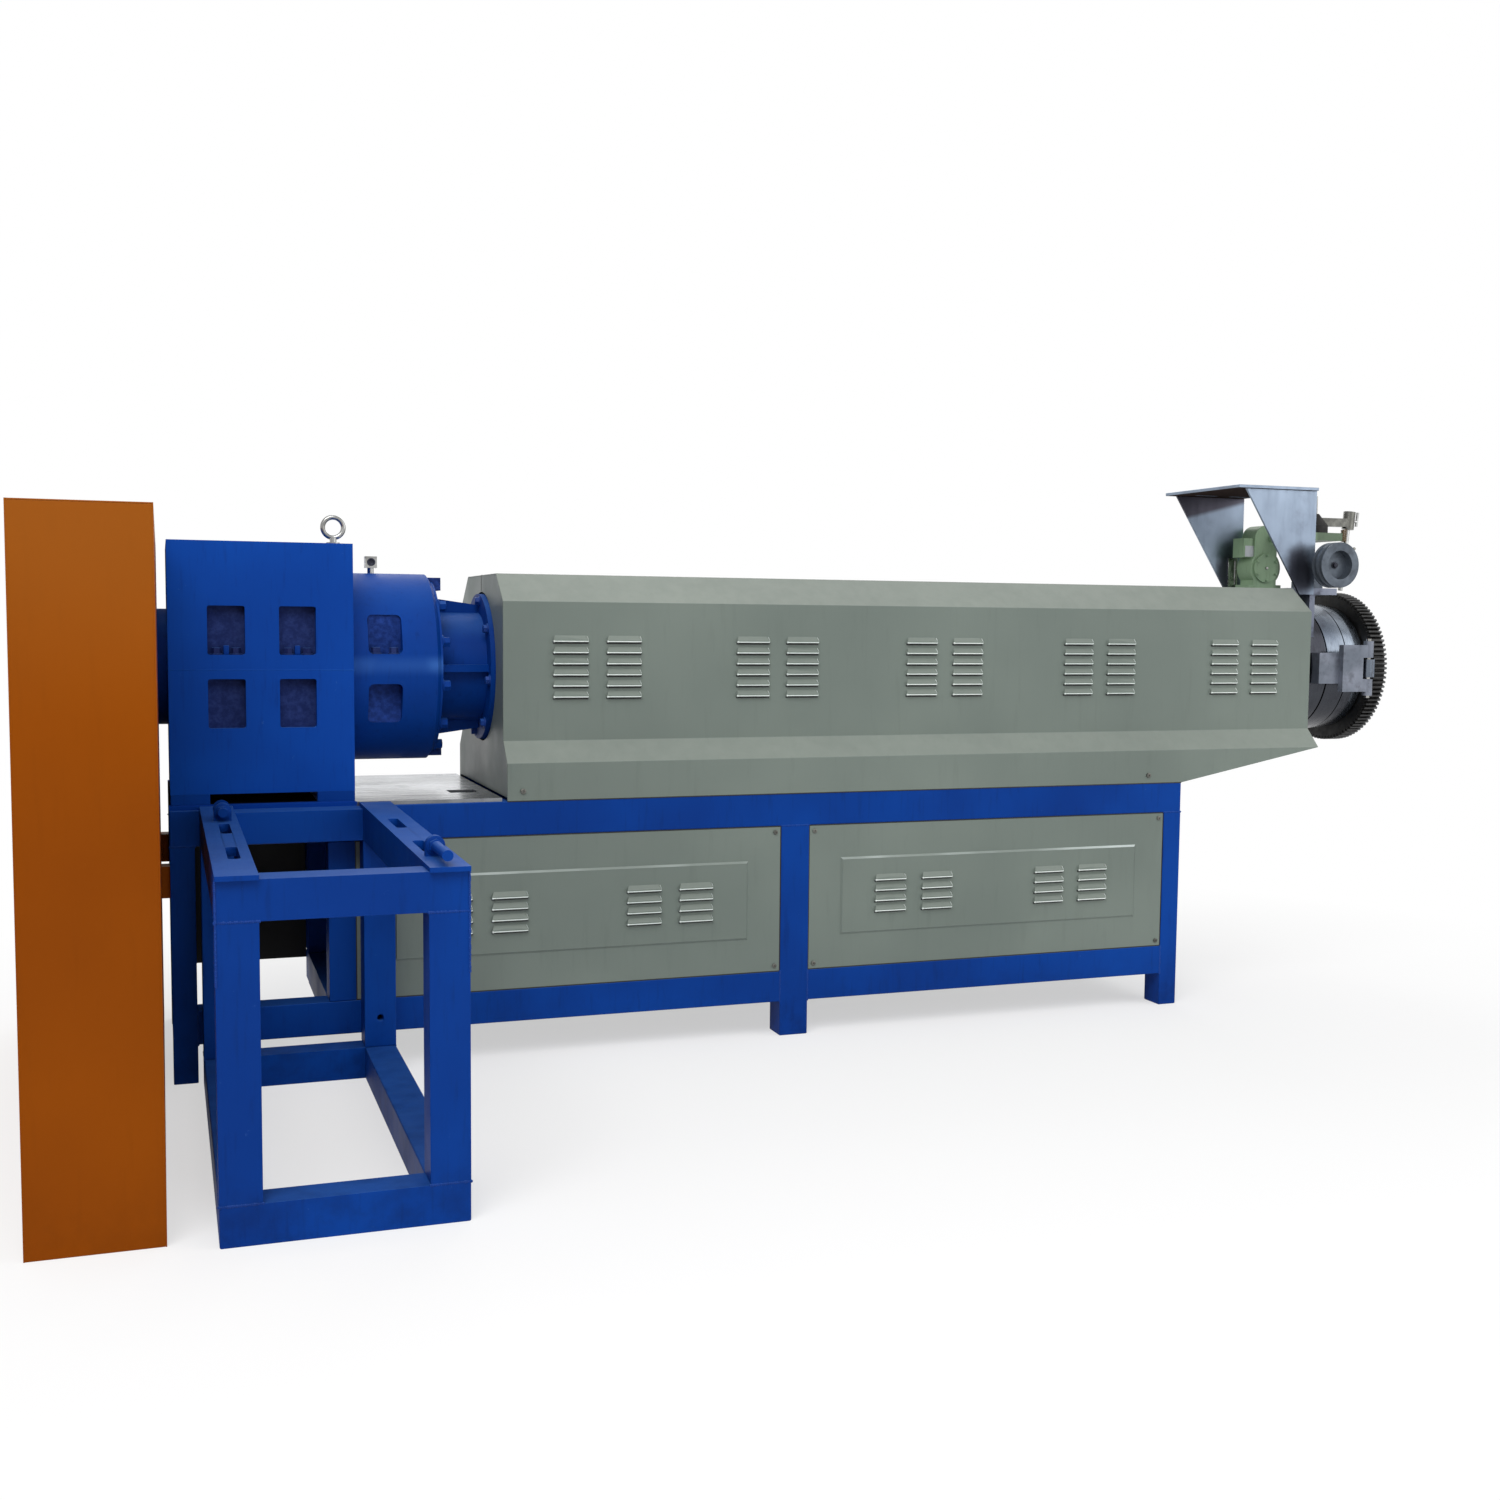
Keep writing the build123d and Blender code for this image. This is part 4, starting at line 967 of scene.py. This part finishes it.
def makeGaps():
    setup = gapSetup
    low, high = panelBoxes[0]
    gap = openSheet("gapModel", high.x - low.x, high.z - low.z)
    bpy.ops.mesh.inset(thickness=setup["wide"])
    closeFrame(gap, setup["thick"])
    seatCopies(gap, "panelGaps", panelMiddles(setup["proud"]), "gap", spin=False)
    half = (railHigh.x - hoodLow.x) / 2
    tall = setup["footTall"]
    corner = Vector((half, tall, tall / 2))
    foot = softBlock("footModel", Vector((-half, 0, -tall / 2)), corner, setup["soft"])
    spot = Vector((hoodLow.x + half, railLow.y - setup["proud"], railHigh.z))
    seatCopies(foot, "hoodFootGap", bothSides([(spot, upwards)]), "gap", spin=False)


# the soft pressed edge round the raised field of each bay panel
creaseSetup = {
    "slope": 0.006, "rise": 0.0044, "fieldTall": 0.214, "rim": 0.004, "sink": 0.0006, "thick": 0.001,
}


def makeCreases():
    setup = creaseSetup
    low, high = panelBoxes[0]
    slope = setup["slope"]
    long = high.x - low.x - 2 * louvreSetup["fieldEdge"]
    crease = openSheet("creaseModel", long + 2 * slope, setup["fieldTall"] + 2 * slope)
    insetFaces(slope, frontward * setup["rise"])
    insetFaces(setup["rim"], frontward * -setup["sink"])
    closeFrame(crease, setup["thick"])
    seatCopies(crease, "panelCreases", panelMiddles(0), "crease", angle=20, spin=False)


# rolled lips of the louvres, pale as a painted highlight, and a painted shadow under each
louvreSetup = {
    "length": 0.104, "pitch": 0.0305, "column": 0.151, "rise": 0.010, "inset": 0.002,
    "hoodGroups": (0.0994, 0.3002, 0.501, 0.7018, 0.9026),  # shares of the hood's length
    "hoodRows": 6, "hoodDrop": 0.076, "hoodWall": 0.314,
    "panelGroups": (0.231, 0.769), "panelRows": 4, "panelFoot": 0.34975, "field": 0.372, "fieldEdge": 0.106,
    "lipRadius": 0.0018, "lipSides": 8, "lipSink": 0.4, "lipLift": 0.6,  # shares of the lip's radius
    "knobLong": 0.0045,
    "knob": ((0.0012, 1.55), (0.0026, 1.05), (0.0014, 0.45)),  # step outwards, width
    "hook": (
        (0.0022, 0.0, 0.0008), (0.0004, 0.0014, 0.004), (-0.0014, 0.0022, 0.005), (-0.0018, 0.0018, 0.004),
    ),
    "lipShadowTall": 0.0045, "lipShadowThick": 0.0009, "lipShadowDrop": 0.0035, "lipShadowSoft": 0.00027,
}


def louvreFeet():
    setup = louvreSetup
    groups = []
    for share in setup["hoodGroups"]:
        middle = hoodLow.x + (hoodHigh.x - hoodLow.x) * share
        groups.append((middle, setup["hoodWall"], axisZ - setup["hoodDrop"], setup["hoodRows"]))
    for low, high in panelBoxes:
        fieldLow = low.x + setup["fieldEdge"]
        fieldLong = high.x - setup["fieldEdge"] - fieldLow
        for share in setup["panelGroups"]:
            middle = fieldLow + fieldLong * share
            groups.append((middle, setup["field"], setup["panelFoot"], setup["panelRows"]))
    feet = []
    for middle, wall, foot, rows in groups:
        for side in (-1, 1):
            x = middle + side * setup["column"] / 2
            for row in range(rows):
                feet.append(Vector((x, axisY - wall, foot + row * setup["pitch"])))
    return feet


def makeLouvreLips():
    setup = louvreSetup
    feet = louvreFeet()
    half = setup["length"] / 2 - setup["inset"]
    radius = setup["lipRadius"]
    long = 2 * (half - setup["knobLong"])
    lip = openCylinder("lipModel", setup["lipSides"], radius, long, turn=(0, math.pi / 2, 0))
    pickFaces(lip, -alongX)
    for step, width in setup["knob"]:
        pushOut((-step, 0, 0))
        bpy.ops.transform.resize(value=(1, width, width))
    pickFaces(lip, alongX)
    for step in setup["hook"]:
        pushOut(step)
    setMode("OBJECT")
    seat = frontward * (setup["rise"] - radius * setup["lipSink"]) + upwards * radius * setup["lipLift"]
    places = bothSides([(foot + seat, upwards) for foot in feet])
    seatCopies(lip, "louvreLips", places, "lip", angle=50, spin=False)
    # a dark strip under each lip: painted shadow
    reach = Vector((half, setup["lipShadowThick"] / 2, setup["lipShadowTall"] / 2))
    lipShadow = softBlock("lipShadowModel", -reach, reach, setup["lipShadowSoft"])
    places = bothSides([(foot - upwards * setup["lipShadowDrop"], upwards) for foot in feet])
    seatCopies(lipShadow, "louvreOpenings", places, "gap", spin=False)


# weld beads at the joints of the frame and the stand
weldSetup = {
    "radius": 0.0032, "flat": 0.6, "step": 1.25, "spread": 0.22, "bury": 0.3,
    "rows": 5, "segments": 8, "legWide": 0.060, "tube": 0.080, "cornerRun": 0.12,
}


def weldLine(start, end, outward):
    setup = weldSetup
    first = Vector(start)
    run = Vector(end) - first
    count = max(2, int(run.length / (setup["radius"] * setup["step"])))
    sink = outward * setup["radius"] * setup["bury"]
    return [(first + run * (number / count) - sink, outward) for number in range(count + 1)]


def seatRipples(name, places):
    setup = weldSetup
    clearSelection()
    bpy.ops.mesh.primitive_uv_sphere_add(
        segments=setup["segments"], ring_count=setup["rows"], radius=setup["radius"]
    )
    ripple = openPiece("rippleModel")
    bpy.ops.mesh.select_all(action="SELECT")
    bpy.ops.transform.resize(value=(1, 1, setup["flat"]))
    setMode("OBJECT")
    seatCopies(ripple, name, places, "weldBlue", angle=60, sizeSpread=setup["spread"])


def makeWelds():
    legLow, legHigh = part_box("base_legs")
    footLow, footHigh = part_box("base_lower_rails")
    wide = weldSetup["legWide"]
    middleLeg = (panelBoxes[0][1].x, panelBoxes[1][0].x)
    legs = ((legLow.x, legLow.x + wide), middleLeg, (legHigh.x - wide, legHigh.x))
    y = legLow.y
    lines = []
    for left, right in legs:
        lines += weldLine((left, y, railLow.z), (right, y, railLow.z), frontward)
    for x in (legs[0][1], *middleLeg, legs[2][0]):
        lines += weldLine((x, y, footLow.z), (x, y, footHigh.z), frontward)
    seatRipples("frameWelds", bothSides(lines))

    low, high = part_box("stand_posts")
    tube = weldSetup["tube"]
    sides = ((low.x, -alongX), (high.x, alongX))
    lines = []
    for z in (low.z, high.z):
        for x, outward in sides:
            for y in (low.y, high.y - tube):
                lines += weldLine((x, y, z), (x, y + tube, z), outward)
        for x in (low.x, high.x - tube):
            lines += weldLine((x, low.y, z), (x + tube, low.y, z), frontward)
    for x, outward in sides:
        foot, head = high.z - weldSetup["cornerRun"], high.z + tube
        lines += weldLine((x, low.y, foot), (x, low.y, head), (frontward + outward).normalized())
    seatRipples("standWelds", lines)


# nuts on the belt tension bolts, each side of the lug, and the left bolt's head
tensionSetup = {
    "nutRadius": 0.0148, "nutHeight": 0.011, "lug": 0.016, "rise": 0.022, "side": 0.020, "leftLug": 0.090,
    "rightLug": 0.153, "headSeat": 0.014,
}


def makeTensionNuts():
    setup = tensionSetup
    low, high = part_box("tension_bolts")
    z = low.z + setup["rise"]
    leftX = low.x + setup["side"]
    rightX = high.x - setup["side"]
    places = []
    for x, lug in ((leftX, high.y - setup["leftLug"]), (rightX, low.y + setup["rightLug"])):
        places.append((Vector((x, lug, z)), frontward))
        places.append((Vector((x, lug + setup["lug"], z)), -frontward))
    places.append((Vector((leftX, high.y - setup["headSeat"], z)), -frontward))
    nut = modelBolt(setup["nutRadius"], setup["nutHeight"])
    seatCopies(nut, "tensionNuts", places, "blue")


# reducer details: cover bolts, a bare plate, the plug at the middle of its cover
reducerSetup = {
    "coverPitch": 0.043, "coverBolts": 6, "boltRadius": 0.0042, "coverDepth": 0.083,
    "plateLong": 0.040, "plateTall": 0.038, "plateSide": 0.006, "plateThick": 0.0016, "plateDepth": 0.0675,
    "plateRise": 0.113, "plateSoft": 0.00056, "plugRadius": 0.005,
}


def makeReducerFittings():
    setup = reducerSetup
    low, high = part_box("reducer")
    pulleyLow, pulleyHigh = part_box("drive_pulley")
    hub = (pulleyLow + pulleyHigh) / 2
    hub.y = high.y - setup["coverDepth"]
    places = []
    for number in range(setup["coverBolts"]):
        angle = math.tau * (number + 0.5) / setup["coverBolts"]
        offset = Vector((math.cos(angle), 0, math.sin(angle))) * setup["coverPitch"]
        places.append((hub + offset, frontward))
    bolt = modelBolt(setup["boltRadius"], setup["boltRadius"])
    seatCopies(bolt, "coverBolts", places, "green")
    thick = Vector((0, setup["plateThick"], 0))
    corner = Vector((low.x + setup["plateSide"], high.y - setup["plateDepth"], low.z + setup["plateRise"]))
    across = Vector((setup["plateLong"], 0, setup["plateTall"]))
    plate = softBlock("blankPlate", corner - thick, corner + across + thick, setup["plateSoft"])
    finishPiece(plate, "plate")
    plug = modelScrew(setup["plugRadius"])
    seatCopies(plug, "coverPlug", [(hub, frontward)], "plated")


# pulley fittings: the hub screw in its recess and a pin on the rim
pulleySetup = {
    "recess": 0.030, "hubRadius": 0.0085, "hubHeight": 0.008, "pinAngle": 37, "pinRadius": 0.005,
    "pinLong": 0.020,
}


def makePulleyFittings():
    setup = pulleySetup
    low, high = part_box("drive_pulley")
    middle = (low + high) / 2
    spot = Vector((middle.x, low.y + setup["recess"], middle.z))
    screw = modelBolt(setup["hubRadius"], setup["hubHeight"])
    seatCopies(screw, "hubScrew", [(spot, frontward)], "darkBolt", "drive_pulley")
    angle = math.radians(setup["pinAngle"])
    outward = Vector((math.cos(angle), 0, math.sin(angle)))
    spot = middle + outward * (high.x - low.x) / 2
    pin = modelBolt(setup["pinRadius"], setup["pinLong"])
    seatCopies(pin, "rimPin", [(spot, outward)], "arm", "drive_pulley")


# the cleat that holds the far side plate to the base
cleatSetup = {
    "side": 0.023, "wide": 0.040, "rise": 0.030, "tall": 0.102, "thick": 0.005, "plate": 0.008,
    "soft": 0.0015, "rim": 0.008, "dish": 0.003,
}


def makeCleat():
    setup = cleatSetup
    right = cheekHigh.x - setup["side"]
    face = cheekHigh.y - setup["plate"]
    foot = cheekLow.z + setup["rise"]
    low = Vector((right - setup["wide"], face - setup["thick"], foot))
    piece = softBlock("plateCleat", low, Vector((right, face, foot + setup["tall"])), setup["soft"])
    setMode("EDIT")
    pickFaces(piece, frontward)
    bpy.ops.mesh.inset(thickness=setup["rim"])
    pushOut((0, setup["dish"], 0))
    finishPiece(piece, "plated")


# the spring under the lock arm, and the stud on the swivel's tip
springSetup = {
    "fromEnd": 0.050, "aside": 0.010, "wire": 0.0022, "wireSides": 6, "radius": 0.0085, "turns": 6,
    "length": 0.040, "steps": 14, "merge": 0.00001,
    "studRadius": 0.0035, "studTop": 0.058, "studSides": 14, "studRim": 0.00105, "studCrown": 0.0014,
}


def makeSpring():
    setup = springSetup
    armLow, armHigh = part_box("lock_arm")
    swivelLow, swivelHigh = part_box("arm_swivel")
    swivel = (swivelLow + swivelHigh) / 2
    clearSelection()
    bpy.ops.mesh.primitive_circle_add(
        vertices=setup["wireSides"], radius=setup["wire"], location=(setup["radius"], 0, 0),
        rotation=(math.pi / 2, 0, 0),
    )
    spring = bpy.context.object
    spring.name = "armSpring"
    bakePlace()
    coil = spring.modifiers.new("coil", "SCREW")
    coil.axis = "Z"
    coil.screw_offset = setup["length"] / setup["turns"]
    coil.iterations = setup["turns"]
    coil.steps = setup["steps"]
    coil.render_steps = setup["steps"]
    applyModifiers(spring)
    spring.location = (armHigh.x - setup["fromEnd"], swivel.y - setup["aside"], armLow.z - setup["length"])
    bakePlace()
    setMode("EDIT")
    bpy.ops.mesh.select_all(action="SELECT")
    bpy.ops.mesh.remove_doubles(threshold=setup["merge"])
    bpy.ops.mesh.fill_holes(sides=0)
    bpy.ops.mesh.normals_make_consistent(inside=False)
    finishPiece(spring, "copper", angle=70)
    tall = setup["studTop"]
    middle = (swivel.x, swivel.y, swivelHigh.z + tall / 2)
    stud = openCylinder("swivelStud", setup["studSides"], setup["studRadius"], tall, middle)
    pickFaces(stud, upwards)
    insetFaces(setup["studRim"], upwards * setup["studCrown"])
    finishPiece(stud, "plated")


# the die plate with its sunk screws: a copy of the solid, bored for their heads
dieSetup = {
    "pitch": 0.180, "count": 12, "first": 15, "clear": 0.0, "screwRadius": 0.0085, "boreRadius": 0.0115,
    "boreDepth": 0.008, "sides": 24, "merge": 0.00001,
}


def makeDiePlate():
    setup = dieSetup
    places = boltCircle(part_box("die_plate")[1].x, alongX, setup)
    plate = bpy.data.objects.new("boredDiePlate", nodes["die_plate"].data.copy())
    bpy.context.scene.collection.objects.link(plate)
    only(plate)
    bpy.ops.mesh.customdata_custom_splitnormals_clear()
    setMode("EDIT")
    bpy.ops.mesh.select_all(action="SELECT")
    bpy.ops.mesh.remove_doubles(threshold=setup["merge"])
    bore = openCylinder("boreModel", setup["sides"], setup["boreRadius"], 2 * setup["boreDepth"])
    setMode("OBJECT")
    bores = placeCopies(bore, "dieBores", places)
    cut = plate.modifiers.new("cut", "BOOLEAN")
    cut.operation = "DIFFERENCE"
    cut.object = bores
    applyModifiers(plate)
    bpy.data.objects.remove(bores, do_unlink=True)
    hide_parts("die_plate")
    finishPiece(plate, "die", "die_door")
    floors = [(spot - alongX * setup["boreDepth"], outward) for spot, outward in places]
    screw = modelScrew(setup["screwRadius"])
    seatCopies(screw, "diePlateScrews", floors, "darkBolt", "die_door")


# a round cap on the front of the breather
breatherSetup = {"radius": 0.011, "height": 0.006, "sides": 24, "rim": 0.0033, "dish": 0.0042}


def makeBreatherCap():
    setup = breatherSetup
    low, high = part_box("breather")
    tall = setup["height"]
    spot = ((low.x + high.x) / 2, low.y - tall / 2, high.z - (high.x - low.x) / 2)
    cap = openCylinder("breatherCap", setup["sides"], setup["radius"], tall, spot, (math.pi / 2, 0, 0))
    pickFaces(cap, frontward)
    bpy.ops.mesh.inset(thickness=setup["rim"])
    pushOut((0, setup["dish"], 0))
    finishPiece(cap, "darkBolt")


# softened edges on the plain-sided nodes, so that they catch the light
edgeSetup = {
    0.003: ["base_legs", "base_top_rails", "base_lower_rails", "stand_posts", "stand_cross_rails",
            "stand_floor_rails"],
    0.002: ["gearbox_upper_case", "gearbox_lower_case", "gearbox_feet"],
    0.0015: ["front_panel_left", "front_panel_right", "rear_panels"],
    0.0012: ["guard_front", "guard_top", "motor_rails", "drive_side_plates", "drive_top_plate",
             "drive_base_plate"],
    0.0025: ["hood_front", "hood_rear"],
}
edgeMerge = 0.00002
edgeAngle = 28


def softenEdges():
    for width, names in edgeSetup.items():
        for name in names:
            weld = nodes[name].modifiers.new("weld", "WELD")
            weld.merge_threshold = edgeMerge
            edge = nodes[name].modifiers.new("edge", "BEVEL")
            edge.width = width
            edge.segments = 2
            edge.limit_method = "ANGLE"
            edge.angle_limit = math.radians(edgeAngle)
            edge.harden_normals = True
    print("edges softened on", sum(len(names) for names in edgeSetup.values()), "nodes")


makeCamera()
makeStudio()
dressNodes()
softenEdges()
makeWindowBolts()
makeFlangeBolts()
makeCaseSeam()
makeHoodSeams()
makeScrews()
makeGaps()
makeCreases()
makeLouvreLips()
makeWelds()
makeTensionNuts()
makeReducerFittings()
makePulleyFittings()
makeCleat()
makeSpring()
makeDiePlate()
makeBreatherCap()
